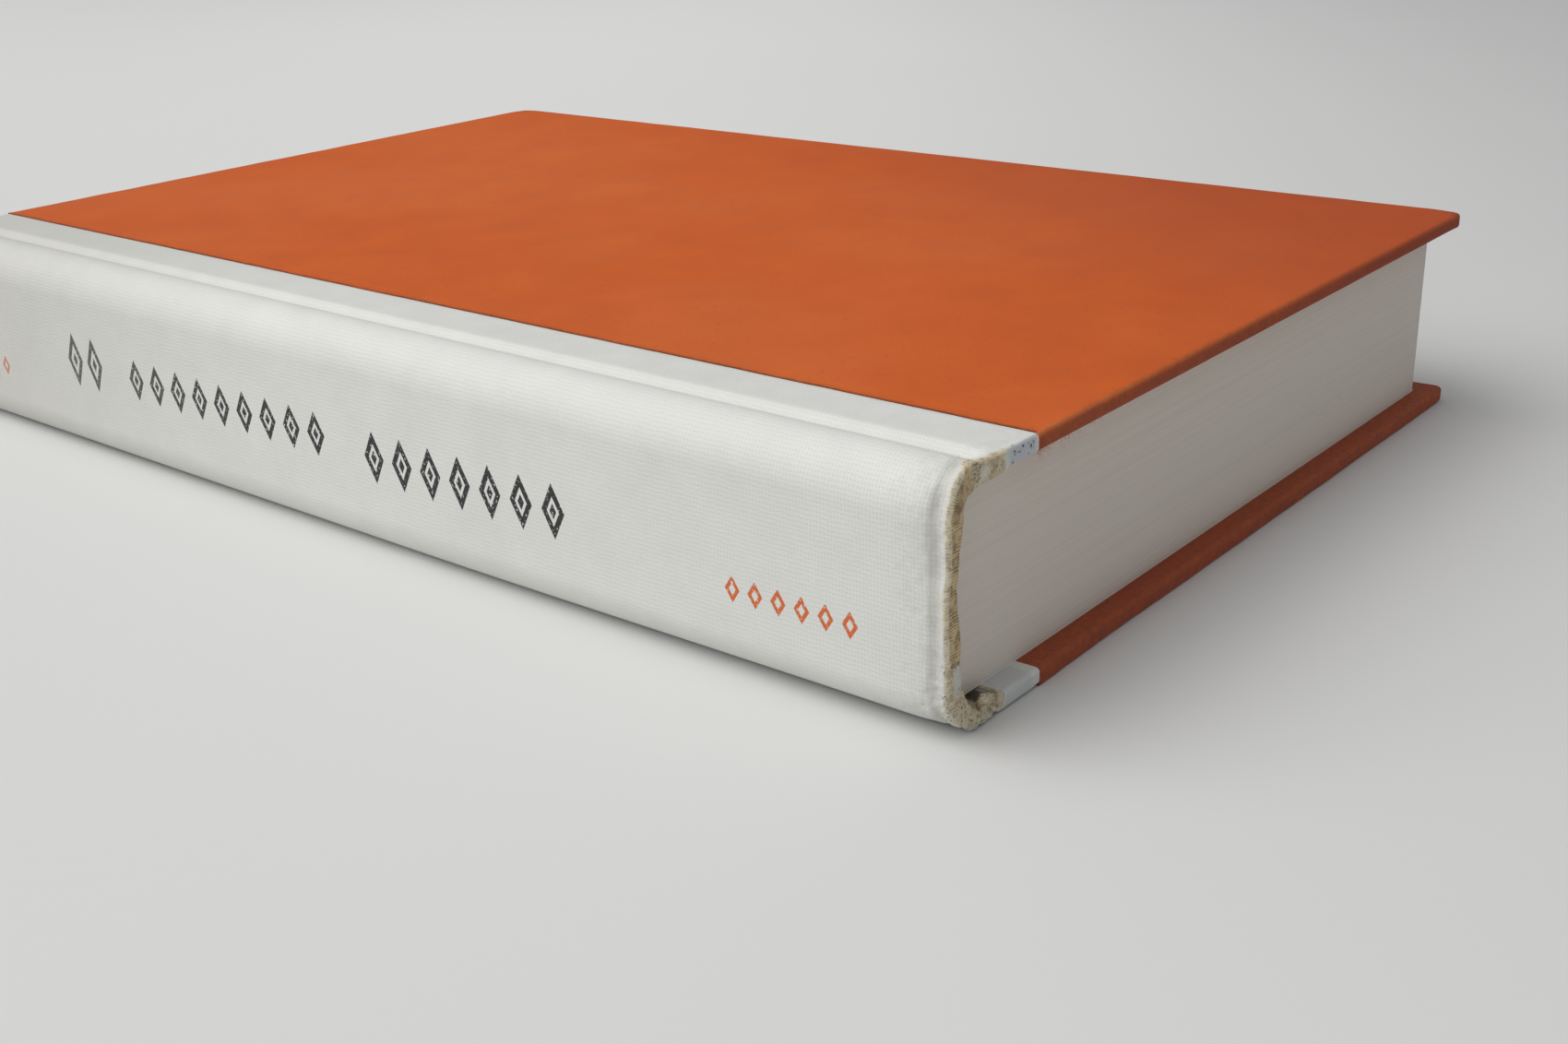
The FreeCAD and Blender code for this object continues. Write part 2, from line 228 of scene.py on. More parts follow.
class Bench:
    """Places nodes in one shader tree and joins them."""

    def __init__(self, tree: bpy.types.NodeTree) -> None:
        """Keep the tree that the nodes go in."""
        self.tree = tree

    def feed(self, socket: Socket, value: object) -> None:
        """Join a socket to another one, or set its value."""
        if isinstance(value, bpy.types.NodeSocket):
            self.tree.links.new(value, socket)
        elif isinstance(value, tuple) and len(value) == 3 and socket.type == "RGBA":
            socket.default_value = (*value, 1.0)
        else:
            socket.default_value = value

    def put(self, kind: str, settings: dict[str, object] | None = None, **inputs: object) -> bpy.types.Node:
        """Place a node.

        Args:
            kind: the node's type name after "ShaderNode".
            settings: the node's own properties.
            inputs: socket names, with _ for a space, and their values or sources.

        Returns:
            The node.
        """
        node = self.tree.nodes.new("ShaderNode" + kind)
        for key, value in (settings or {}).items():
            setattr(node, key, value)
        for key, value in inputs.items():
            self.feed(node.inputs[key.replace("_", " ")], value)
        return node

    def sum(self, kind: str, *values: object, clamp: bool = False) -> Socket:
        """Return the result of a Math node, such as ADD or MULTIPLY, on the values."""
        node = self.put("Math", {"operation": kind, "use_clamp": clamp})
        for socket, value in zip(node.inputs, values):
            self.feed(socket, value)
        return node.outputs[0]

    def shift(self, kind: str, *values: object) -> Socket:
        """Return the vector that a Vector Math node makes of the values."""
        node = self.put("VectorMath", {"operation": kind})
        for socket, value in zip([s for s in node.inputs if s.enabled], values):
            self.feed(socket, value)
        return node.outputs[0]

    def span(self, value: object, low: float, high: float, first: float = 0.0, last: float = 1.0) -> Socket:
        """Return value moved smoothly from the span low-high to first-last, and held there."""
        node = self.put("MapRange", {"interpolation_type": "SMOOTHSTEP"}, Value=value)
        for key, number in {"From Min": low, "From Max": high, "To Min": first, "To Max": last}.items():
            node.inputs[key].default_value = number
        return node.outputs["Result"]

    def blend(self, share: object, under: object, over: object, kind: str = "MIX") -> Socket:
        """Return the colour under with over laid on it by share."""
        node = self.put("Mix", {"data_type": "RGBA", "blend_type": kind})
        self.feed(node.inputs[0], share)
        self.feed(node.inputs[6], under)
        self.feed(node.inputs[7], over)
        return node.outputs[2]

    def mask(self, name: str) -> Socket:
        """Return a value kept on the mesh."""
        return self.put("Attribute", {"attribute_name": name, "attribute_type": "GEOMETRY"}).outputs["Fac"]

    def place(self) -> Socket:
        """Return the point in the piece's own coordinates, in metres."""
        return self.put("TexCoord").outputs["Object"]

    def sheet_place(self) -> Socket:
        """Return the point on the piece's own map, in metres along the sheet."""
        return self.put("UVMap", {"uv_map": "Map"}).outputs["UV"]

    def scaled(self, vector: Socket, scale: tuple[float, float, float]) -> Socket:
        """Return a vector with each part multiplied."""
        return self.shift("MULTIPLY", vector, scale)

    def noise(self, vector: Socket, scale: float, detail: float = 2.0, rough: float = 0.5, warp: float = 0.0) -> Socket:
        """Return smooth noise from 0 to 1 with its features 1/scale of a metre wide."""
        node = self.put("TexNoise", Vector=vector, Scale=scale, Detail=detail, Roughness=rough, Distortion=warp)
        return node.outputs["Fac"]

    def group(self, tree: bpy.types.NodeTree, **inputs: object) -> bpy.types.Node:
        """Place a shared effect and feed its named inputs."""
        node = self.put("Group", {"node_tree": tree})
        for key, value in inputs.items():
            self.feed(node.inputs[key.replace("_", " ")], value)
        return node


class SharedEffects:
    """The shader groups that several finishes use; each is built once, when it is first asked for."""

    def __init__(self) -> None:
        """Start with none built."""
        self.built: dict[str, bpy.types.NodeTree] = {}

    def start(
        self, name: str, inputs: dict[str, tuple[str, object]], outputs: list[str]
    ) -> tuple[Bench, bpy.types.NodeInputs, bpy.types.NodeInputs]:
        """Begin a group with named sockets.

        Args:
            name: the group's name.
            inputs: socket name to (socket type, value when nothing is joined).
            outputs: names of the values it puts out.

        Returns:
            The bench, the sockets to read from and the sockets to write to.
        """
        tree = bpy.data.node_groups.new(name, "ShaderNodeTree")
        for key, (kind, value) in inputs.items():
            socket = tree.interface.new_socket(key, in_out="INPUT", socket_type="NodeSocket" + kind)
            if value is not None:
                socket.default_value = value
        for key in outputs:
            tree.interface.new_socket(key, in_out="OUTPUT", socket_type="NodeSocketFloat")
        source = tree.nodes.new("NodeGroupInput")
        target = tree.nodes.new("NodeGroupOutput")
        self.built[name] = tree
        return Bench(tree), source.outputs, target.inputs

    def fibres(self) -> bpy.types.NodeTree:
        """Return the group for pressed fibres: soft clouds, fine crossing hairs and grain."""
        name = "Pressed fibres"
        if name in self.built:
            return self.built[name]
        inputs = {
            "Vector": ("Vector", None), "Scale": ("Float", 100.0),
            "Cloud": ("Float", 0.5), "Hair": ("Float", 0.4), "Grain": ("Float", 0.3),
        }
        bench, given, made = self.start(name, inputs, ["Shade", "Height"])
        base = bench.put("VectorMath", {"operation": "SCALE"}, Vector=given["Vector"])
        bench.feed(base.inputs["Scale"], given["Scale"])
        point = base.outputs[0]
        cloud = bench.sum("SUBTRACT", bench.noise(point, 1.0, 3.0, 0.55), 0.5)
        hairs = []
        for stretch in ((7.0, 26.0, 16.0), (26.0, 8.0, 16.0)):
            thread = bench.noise(bench.scaled(point, stretch), 1.0, 1.0, 0.5, 1.2)
            hairs.append(bench.span(bench.sum("ABSOLUTE", bench.sum("SUBTRACT", thread, 0.5)), 0.0, 0.07, 1.0, 0.0))
        hair = bench.sum("MAXIMUM", *hairs)
        grain = bench.sum("SUBTRACT", bench.noise(point, 38.0, 2.0, 0.6), 0.5)
        shade = bench.sum("MULTIPLY_ADD", cloud, given["Cloud"], 0.5)
        shade = bench.sum("MULTIPLY_ADD", bench.sum("SUBTRACT", hair, 0.2), given["Hair"], shade)
        shade = bench.sum("MULTIPLY_ADD", grain, given["Grain"], shade, clamp=True)
        bench.feed(made["Shade"], shade)
        bench.feed(made["Height"], bench.sum("MULTIPLY_ADD", hair, 0.35, bench.sum("ADD", grain, 0.5)))
        return bench.tree

    def weave(self) -> bpy.types.NodeTree:
        """Return the group for a plain weave: round threads that pass over and under each other."""
        name = "Plain weave"
        if name in self.built:
            return self.built[name]
        inputs = {"Vector": ("Vector", None), "Warp": ("Float", 1800.0), "Weft": ("Float", 1800.0)}
        bench, given, made = self.start(name, inputs, ["Height", "Gap"])
        parts = bench.put("SeparateXYZ", Vector=given["Vector"])
        drift = bench.sum("MULTIPLY", bench.noise(given["Vector"], 500.0, 1.0), 0.8)
        warp = bench.sum("MULTIPLY_ADD", parts.outputs["X"], given["Warp"], drift)
        weft = bench.sum("MULTIPLY_ADD", parts.outputs["Y"], given["Weft"], drift)
        heights = []
        for over, along, start in ((warp, weft, 0.0), (weft, warp, math.pi)):
            thread = bench.sum("ABSOLUTE", bench.sum("SINE", bench.sum("MULTIPLY", over, math.pi)))
            turn = bench.sum("MULTIPLY_ADD", bench.sum("FLOOR", over), math.pi, start)
            wave = bench.sum("SINE", bench.sum("MULTIPLY_ADD", along, math.pi, turn))
            heights.append(bench.sum("MULTIPLY", thread, bench.sum("MULTIPLY_ADD", wave, 0.35, 0.65)))
        height = bench.sum("MAXIMUM", *heights)
        bench.feed(made["Height"], height)
        bench.feed(made["Gap"], bench.span(height, 0.25, 0.55, 1.0, 0.0))
        return bench.tree

    def specks(self) -> bpy.types.NodeTree:
        """Return the group for scattered specks: some cells of a Voronoi pattern, each with its own size."""
        name = "Specks"
        if name in self.built:
            return self.built[name]
        inputs = {"Vector": ("Vector", None), "Scale": ("Float", 1000.0), "Share": ("Float", 0.2), "Size": ("Float", 0.3)}
        bench, given, made = self.start(name, inputs, ["Mask"])
        stir = bench.put("TexNoise", Vector=given["Vector"], Scale=bench.sum("MULTIPLY", given["Scale"], 1.6), Detail=2.0)
        shift = bench.put("VectorMath", {"operation": "SCALE"}, Vector=bench.shift("SUBTRACT", stir.outputs["Color"], (0.5, 0.5, 0.5)))
        bench.feed(shift.inputs["Scale"], bench.sum("DIVIDE", 0.9, given["Scale"]))
        moved = bench.shift("ADD", given["Vector"], shift.outputs[0])
        cells = bench.put("TexVoronoi", Vector=moved, Scale=given["Scale"], Randomness=1.0)
        pick = bench.put("SeparateColor", Color=cells.outputs["Color"])
        there = bench.sum("LESS_THAN", pick.outputs[0], given["Share"])
        size = bench.sum("MULTIPLY", given["Size"], bench.sum("MULTIPLY_ADD", pick.outputs[1], 0.7, 0.3))
        edge = bench.sum("DIVIDE", cells.outputs["Distance"], size)
        bench.feed(made["Mask"], bench.sum("MULTIPLY", there, bench.span(edge, 0.4, 1.15, 1.0, 0.0)))
        return bench.tree

    def rubbed(self) -> bpy.types.NodeTree:
        """Return the group for rubbed places: a mask from the mesh broken up into patches."""
        name = "Rubbed places"
        if name in self.built:
            return self.built[name]
        inputs = {
            "Vector": ("Vector", None), "Mask": ("Float", 0.0), "Scale": ("Float", 1500.0),
            "Break": ("Float", 1.0), "Soft": ("Float", 0.2),
        }
        bench, given, made = self.start(name, inputs, ["Wear"])
        node = bench.put("TexNoise", Vector=given["Vector"], Scale=given["Scale"], Detail=4.0, Roughness=0.62)
        broken = bench.sum("MULTIPLY_ADD", bench.sum("SUBTRACT", node.outputs["Fac"], 0.5), given["Break"], given["Mask"])
        lifted = bench.sum("DIVIDE", bench.sum("SUBTRACT", broken, 0.5), given["Soft"])
        some = bench.sum("GREATER_THAN", given["Mask"], 0.004)
        bench.feed(made["Wear"], bench.sum("MULTIPLY", some, bench.sum("ADD", lifted, 0.5, clamp=True)))
        return bench.tree

    def stamped_row(self) -> bpy.types.NodeTree:
        """Return the group for a stamped row of lozenges: |a| + |b| below 1, hollow, with a middle point."""
        name = "Stamped lozenges"
        if name in self.built:
            return self.built[name]
        inputs = {
            "Vector": ("Vector", None), "Start": ("Float", 0.0), "End": ("Float", 0.01), "Line": ("Float", 0.0),
            "Pitch": ("Float", 0.005), "Half width": ("Float", 0.0015), "Half height": ("Float", 0.003),
            "Hollow": ("Float", 0.6), "Point": ("Float", 0.2),
        }
        bench, given, made = self.start(name, inputs, ["Mask"])
        parts = bench.put("SeparateXYZ", Vector=given["Vector"])
        ahead = bench.sum("SUBTRACT", parts.outputs["X"], given["Start"])
        turn = bench.sum("SUBTRACT", bench.sum("FRACT", bench.sum("DIVIDE", ahead, given["Pitch"])), 0.5)
        wide = bench.sum("ABSOLUTE", bench.sum("DIVIDE", bench.sum("MULTIPLY", turn, given["Pitch"]), given["Half width"]))
        beside = bench.sum("SUBTRACT", parts.outputs["Y"], given["Line"])
        tall = bench.sum("ABSOLUTE", bench.sum("DIVIDE", beside, given["Half height"]))
        reach = bench.sum("ADD", wide, tall)
        ring = bench.sum("MULTIPLY", bench.span(reach, 0.94, 1.0, 1.0, 0.0), bench.sum("GREATER_THAN", reach, given["Hollow"]))
        dot = bench.sum("LESS_THAN", reach, given["Point"])
        window = bench.sum(
            "MULTIPLY", bench.sum("GREATER_THAN", parts.outputs["X"], given["Start"]),
            bench.sum("LESS_THAN", parts.outputs["X"], given["End"]))
        bench.feed(made["Mask"], bench.sum("MULTIPLY", window, bench.sum("MAXIMUM", ring, dot)))
        return bench.tree


def new_finish(name: str) -> tuple[bpy.types.Material, Bench, bpy.types.Node]:
    """Return an empty material, its bench and its Principled shader."""
    material = bpy.data.materials.new(name)
    material.use_nodes = True
    material.node_tree.nodes.clear()
    bench = Bench(material.node_tree)
    shader = bench.put("BsdfPrincipled")
    output = bench.put("OutputMaterial")
    bench.feed(output.inputs["Surface"], shader.outputs["BSDF"])
    return material, bench, shader


def raise_surface(bench: Bench, shader: bpy.types.Node, height: Socket, deep: float, strength: float = 1.0) -> None:
    """Feed a height into the shader's normal; deep is its full depth in millimetres."""
    bump = bench.put("Bump", Height=height, Distance=deep * MM, Strength=strength)
    bench.feed(shader.inputs["Normal"], bump.outputs["Normal"])


@dataclass(frozen=True)
class StampedRow:
    """One printed row on the spine, in millimetres: along the spine, across it, and its lozenges."""

    start: float
    count: int
    line: float
    pitch: float
    half_width: float
    half_height: float
    hollow: float
    point: float

    def mask(self, bench: Bench, effects: SharedEffects, place: Socket) -> Socket:
        """Return where the ink of this row lies."""
        node = bench.group(
            effects.stamped_row(), Vector=place, Start=self.start * MM,
            End=(self.start + self.count * self.pitch) * MM, Line=self.line * MM, Pitch=self.pitch * MM,
            Half_width=self.half_width * MM, Half_height=self.half_height * MM, Hollow=self.hollow, Point=self.point)
        return node.outputs["Mask"]


TITLE_ROWS = (
    StampedRow(52.0, 2, 0.5, 5.6, 2.2, 4.6, 0.56, 0.26),
    StampedRow(-4.5, 9, 0.0, 5.6, 2.0, 3.4, 0.52, 0.28),
    StampedRow(-52.0, 7, -1.0, 5.8, 2.1, 3.9, 0.52, 0.28),
)
SMALL_ROWS = (
    StampedRow(-97.0, 6, -4.0, 3.4, 1.15, 1.75, 0.45, 0.0),
    StampedRow(82.0, 6, -4.3, 3.4, 1.15, 1.75, 0.45, 0.0),
)


@dataclass(frozen=True)
class BookClothFinish:
    """White filled cloth: a faint weave, ribs, grey soil, and tan bare threads where the caps are rubbed; with painted
    shade in the weave's gaps, towards the head of the spine, and as a blue-grey cast on the tail-facing board ends.
    """

    white: Color = (0.78, 0.78, 0.75)
    shade: Color = (0.68, 0.68, 0.65)
    # painted shade for the hollows between the threads of the weave
    painted_weave_shade: Color = (0.46, 0.455, 0.42)
    # grey of soil; also the colour of the painted shade towards the head of the spine
    soil_and_shade: Color = (0.38, 0.375, 0.31)
    tan: Color = (0.66, 0.51, 0.30)
    brown: Color = (0.20, 0.13, 0.065)
    cream: Color = (0.74, 0.67, 0.50)
    stain: Color = (0.40, 0.31, 0.18)
    pore: Color = (0.19, 0.135, 0.08)
    # blue-grey painted shade for the tail-facing cloth on the board ends
    painted_cool_shade: Color = (0.42, 0.46, 0.52)
    black_ink: Color = (0.022, 0.024, 0.024)
    orange_ink: Color = (0.66, 0.14, 0.03)

    def make(self, effects: SharedEffects) -> bpy.types.Material:
        """Return the material."""
        material, bench, shader = new_finish("White book cloth")
        place, sheet = bench.place(), bench.sheet_place()
        weave = bench.group(effects.weave(), Vector=sheet, Warp=1750.0, Weft=2100.0)
        fibres = bench.group(effects.fibres(), Vector=place, Scale=160.0, Cloud=0.9, Hair=0.12, Grain=0.35)
        color = bench.blend(fibres.outputs["Shade"], self.shade, self.white)
        # painted shade: the weave's gaps are darkened
        color = bench.blend(bench.sum("MULTIPLY", weave.outputs["Gap"], 0.24), color, self.painted_weave_shade)
        parts = bench.put("SeparateXYZ", Vector=sheet)
        across = bench.put("CombineXYZ", X=parts.outputs["Y"], Y=parts.outputs["X"])
        black = bench.sum("MAXIMUM", bench.sum("MAXIMUM", *[r.mask(bench, effects, across.outputs[0]) for r in TITLE_ROWS[:2]]),
                          TITLE_ROWS[2].mask(bench, effects, across.outputs[0]))
        orange = bench.sum("MAXIMUM", *[r.mask(bench, effects, across.outputs[0]) for r in SMALL_ROWS])
        worn_ink = bench.span(bench.noise(place, 2600.0, 3.0), 0.30, 0.42)
        color = bench.blend(bench.sum("MULTIPLY", black, worn_ink), color, self.black_ink)
        color = bench.blend(bench.sum("MULTIPLY", orange, worn_ink), color, self.orange_ink)
        soil_and_shade = bench.group(effects.rubbed(), Vector=place, Mask=bench.mask("soil_and_shade"), Scale=900.0, Break=0.7, Soft=0.9)
        color = bench.blend(bench.sum("MULTIPLY", soil_and_shade.outputs["Wear"], 0.8), color, self.soil_and_shade)
        # painted shade: the cloth greys towards the head in the soil colour, standing in for the light falling off
        # along the spine
        color = bench.blend(bench.mask("painted_head_shade"), color, self.soil_and_shade)
        # painted shade: a blue-grey cast on the tail-facing cloth over the board ends
        color = bench.blend(bench.mask("painted_cool_shade"), color, self.painted_cool_shade)
        wound = bench.sum("MULTIPLY_ADD", parts.outputs["X"], 2700.0, bench.noise(place, 900.0, 2.0))
        wound = bench.sum("ABSOLUTE", bench.sum("SINE", bench.sum("MULTIPLY", wound, math.pi)))
        patchy = bench.sum("SUBTRACT", bench.noise(place, 850.0, 5.0, 0.75, 0.6), 0.5)
        ribbed = bench.sum("MULTIPLY", wound, bench.span(bench.noise(place, 500.0, 2.0), 0.35, 0.6, 0.12, 0.55))
        rib = bench.span(bench.sum("ADD", bench.sum("MULTIPLY_ADD", patchy, 2.1, 0.27), ribbed), 0.0, 0.85)
        cream = bench.group(effects.rubbed(), Vector=place, Mask=bench.mask("cream"), Scale=1100.0, Break=0.8, Soft=0.7)
        stained = bench.sum("MULTIPLY_ADD", bench.noise(place, 1500.0, 4.0, 0.7), 1.0, bench.sum("MULTIPLY", rib, 0.22))
        bead = bench.blend(bench.span(stained, 0.36, 0.78), self.stain, self.cream)
        color = bench.blend(cream.outputs["Wear"], color, bead)
        bare = bench.group(effects.rubbed(), Vector=place, Mask=bench.mask("bare"), Scale=1500.0, Break=0.9, Soft=0.45)
        threads = bench.blend(rib, self.brown, self.tan)
        color = bench.blend(bare.outputs["Wear"], color, threads)
        holes = bench.group(effects.specks(), Vector=place, Scale=3300.0, Share=0.75, Size=0.50)
        worn = bench.group(effects.rubbed(), Vector=place, Mask=bench.mask("pores"), Scale=900.0, Break=1.0, Soft=0.4)
        hole = bench.sum("MULTIPLY", holes.outputs["Mask"], worn.outputs["Wear"])
        color = bench.blend(bench.sum("MULTIPLY", hole, 0.8), color, self.pore)
        spots = bench.group(effects.specks(), Vector=place, Scale=1900.0, Share=0.72, Size=0.46)
        near = bench.group(effects.rubbed(), Vector=place, Mask=bench.mask("spots"), Scale=1100.0, Break=1.0, Soft=0.25)
        near = bench.sum("MULTIPLY", spots.outputs["Mask"], near.outputs["Wear"])
        color = bench.blend(bench.sum("MULTIPLY", near, 0.9), color, self.black_ink)
        bench.feed(shader.inputs["Base Color"], color)
        rough = bench.sum("MULTIPLY_ADD", bare.outputs["Wear"], 0.34, bench.sum("MULTIPLY_ADD", fibres.outputs["Shade"], 0.16, 0.42))
        bench.feed(shader.inputs["Roughness"], rough)
        shader.inputs["Specular IOR Level"].default_value = 0.35
        high = bench.sum("MULTIPLY_ADD", fibres.outputs["Height"], 0.5, weave.outputs["Height"])
        high = bench.sum("MULTIPLY_ADD", bench.sum("MULTIPLY", bare.outputs["Wear"], rib), 1.8, high)
        high = bench.sum("SUBTRACT", high, bench.sum("MULTIPLY", bench.sum("MAXIMUM", black, orange), 0.6))
        high = bench.sum("MULTIPLY_ADD", hole, -4.0, high)
        raise_surface(bench, shader, high, 0.030)
        return material


@dataclass(frozen=True)
class SidingPaperFinish:
    """Orange cover paper: soft clouds, crossing fibres, fine dark grain and rubbed edges; grime that is partly painted
    shade on the back sheet, painted shade across the front sheet, and a painted shadow line along the cut.
    """

    orange: Color = (0.65, 0.127, 0.020)
    deep: Color = (0.54, 0.092, 0.014)
    pale: Color = (0.78, 0.27, 0.11)
    worn: Color = (0.24, 0.085, 0.045)
    # grime colour, which on the back sheet's end and turn-in also serves as painted shade
    dirt_and_shade: Color = (0.24, 0.072, 0.048)
    # painted shade colour: deep red for the light falling off across the front sheet
    painted_falloff_shade: Color = (0.24, 0.017, 0.008)
    # painted shadow line along the paper's cut edge beside the cloth
    cut: Color = (0.085, 0.035, 0.02)

    def make(self, effects: SharedEffects) -> bpy.types.Material:
        """Return the material."""
        material, bench, shader = new_finish("Orange siding paper")
        place = bench.place()
        fibres = bench.group(effects.fibres(), Vector=place, Scale=110.0, Cloud=1.1, Hair=0.30, Grain=0.55)
        color = bench.blend(fibres.outputs["Shade"], self.deep, self.orange)
        broad = bench.noise(place, 22.0, 3.0)
        color = bench.blend(bench.span(broad, 0.35, 0.7, 0.0, 0.10), color, self.pale)
        dark = bench.group(effects.specks(), Vector=place, Scale=1100.0, Share=0.16, Size=0.4)
        color = bench.blend(bench.sum("MULTIPLY", dark.outputs["Mask"], 0.35), color, self.worn)
        rub = bench.group(effects.rubbed(), Vector=place, Mask=bench.mask("rub"), Scale=700.0, Break=0.8, Soft=0.7)
        color = bench.blend(bench.sum("MULTIPLY", rub.outputs["Wear"], 0.55), color, self.pale)
        # grime on the end walls, turn-ins and fore corner; on the back sheet it is partly painted shade
        grime_and_shade = bench.group(effects.rubbed(), Vector=place, Mask=bench.mask("grime_and_shade"), Scale=1200.0, Break=1.1, Soft=0.8)
        color = bench.blend(bench.sum("MULTIPLY", grime_and_shade.outputs["Wear"], 0.85), color, self.dirt_and_shade)
        # painted shade: the front sheet darkens towards its fore-edge tail corner and a little towards the spine at the
        # head
        color = bench.blend(bench.mask("painted_falloff_shade"), color, self.painted_falloff_shade)
        # painted shadow: a dark ragged line along the cut edge where the paper meets the cloth
        cut = bench.group(effects.rubbed(), Vector=place, Mask=bench.mask("cut"), Scale=900.0, Break=1.0, Soft=0.6)
        color = bench.blend(bench.sum("MULTIPLY", cut.outputs["Wear"], 0.55), color, self.cut)
        bench.feed(shader.inputs["Base Color"], color)
        bench.feed(shader.inputs["Roughness"], bench.sum("MULTIPLY_ADD", fibres.outputs["Shade"], 0.2, 0.55))
        shader.inputs["Specular IOR Level"].default_value = 0.12
        raise_surface(bench, shader, fibres.outputs["Height"], 0.03)
        return material


@dataclass(frozen=True)
class LeavesFinish:
    """Cut edges of the leaves: fine lines of each leaf, gathered in sections, and flat paper elsewhere."""

    paper: Color = (0.76, 0.70, 0.63)
    gap: Color = (0.60, 0.54, 0.47)

    def make(self, effects: SharedEffects) -> bpy.types.Material:
        """Return the material."""
        material, bench, shader = new_finish("Cut leaves")
        place = bench.place()
        lines = bench.noise(bench.scaled(place, (14.0, 14.0, 5200.0)), 1.0, 2.0, 0.6)
        broad = bench.noise(bench.scaled(place, (9.0, 9.0, 900.0)), 1.0, 2.0)
        fibres = bench.group(effects.fibres(), Vector=place, Scale=200.0, Cloud=0.5, Hair=0.1, Grain=0.5)
        shade = bench.sum("MULTIPLY_ADD", bench.span(lines, 0.3, 0.62), 0.5, bench.sum("MULTIPLY", broad, 0.65))
        color = bench.blend(bench.sum("MULTIPLY_ADD", shade, 0.5, 0.45, clamp=True), self.gap, self.paper)
        color = bench.blend(bench.span(fibres.outputs["Shade"], 0.2, 0.8, 0.12, 0.0), color, self.gap)
        specks = bench.group(effects.specks(), Vector=place, Scale=330.0, Share=0.02, Size=0.07)
        color = bench.blend(bench.sum("MULTIPLY", specks.outputs["Mask"], 0.7), color, (0.12, 0.09, 0.06))
        bench.feed(shader.inputs["Base Color"], color)
        bench.feed(shader.inputs["Roughness"], bench.sum("MULTIPLY_ADD", lines, 0.15, 0.72))
        shader.inputs["Specular IOR Level"].default_value = 0.25
        raise_surface(bench, shader, bench.sum("MULTIPLY_ADD", fibres.outputs["Height"], 0.3, lines), 0.014)
        return material


@dataclass(frozen=True)
class FibreFinish:
    """Any pressed sheet inside the book: paper, card or board, told apart by colours and coarseness."""

    name: str
    light: Color
    dark: Color
    scale: float
    deep: float
    rough: float
    specks: float = 0.05

    def make(self, effects: SharedEffects) -> bpy.types.Material:
        """Return the material."""
        material, bench, shader = new_finish(self.name)
        place = bench.place()
        fibres = bench.group(effects.fibres(), Vector=place, Scale=self.scale, Cloud=0.8, Hair=0.35, Grain=0.5)
        color = bench.blend(fibres.outputs["Shade"], self.dark, self.light)
        specks = bench.group(effects.specks(), Vector=place, Scale=self.scale * 9.0, Share=self.specks, Size=0.4)
        color = bench.blend(bench.sum("MULTIPLY", specks.outputs["Mask"], 0.5), color, self.dark)
        bench.feed(shader.inputs["Base Color"], color)
        bench.feed(shader.inputs["Roughness"], bench.sum("MULTIPLY_ADD", fibres.outputs["Shade"], 0.15, self.rough - 0.07))
        raise_surface(bench, shader, fibres.outputs["Height"], self.deep)
        return material


@dataclass(frozen=True)
class GauzeFinish:
    """Open starched gauze: a wide plain weave with glue in its gaps."""

    thread: Color = (0.80, 0.75, 0.64)
    glue: Color = (0.42, 0.34, 0.22)

    def make(self, effects: SharedEffects) -> bpy.types.Material:
        """Return the material."""
        material, bench, shader = new_finish("Starched gauze")
        place = bench.place()
        parts = bench.put("SeparateXYZ", Vector=place)
        flat = bench.put("CombineXYZ", X=parts.outputs["Y"], Y=bench.sum("ADD", parts.outputs["X"], parts.outputs["Z"]))
        weave = bench.group(effects.weave(), Vector=flat.outputs[0], Warp=900.0, Weft=900.0)
        fibres = bench.group(effects.fibres(), Vector=place, Scale=220.0, Cloud=0.5, Hair=0.2, Grain=0.5)
        color = bench.blend(weave.outputs["Gap"], self.thread, self.glue)
        color = bench.blend(bench.span(fibres.outputs["Shade"], 0.2, 0.9, 0.35, 0.0), color, self.glue)
        bench.feed(shader.inputs["Base Color"], color)
        bench.feed(shader.inputs["Roughness"], bench.sum("MULTIPLY_ADD", weave.outputs["Gap"], -0.35, 0.85))
        raise_surface(bench, shader, weave.outputs["Height"], 0.12)
        return material


ENDPAPER = FibreFinish("Stiff endpaper", (0.82, 0.79, 0.71), (0.70, 0.66, 0.57), 90.0, 0.025, 0.72)
LINING = FibreFinish("Brown lining paper", (0.58, 0.43, 0.27), (0.38, 0.26, 0.15), 120.0, 0.05, 0.8, 0.15)
CARD = FibreFinish("Grey card", (0.52, 0.47, 0.40), (0.34, 0.30, 0.25), 150.0, 0.06, 0.82, 0.2)
BOARD = FibreFinish("Grey board", (0.47, 0.44, 0.38), (0.28, 0.25, 0.21), 170.0, 0.08, 0.85, 0.3)


# ---------------------------------------------------------------------------------------------- the cloth


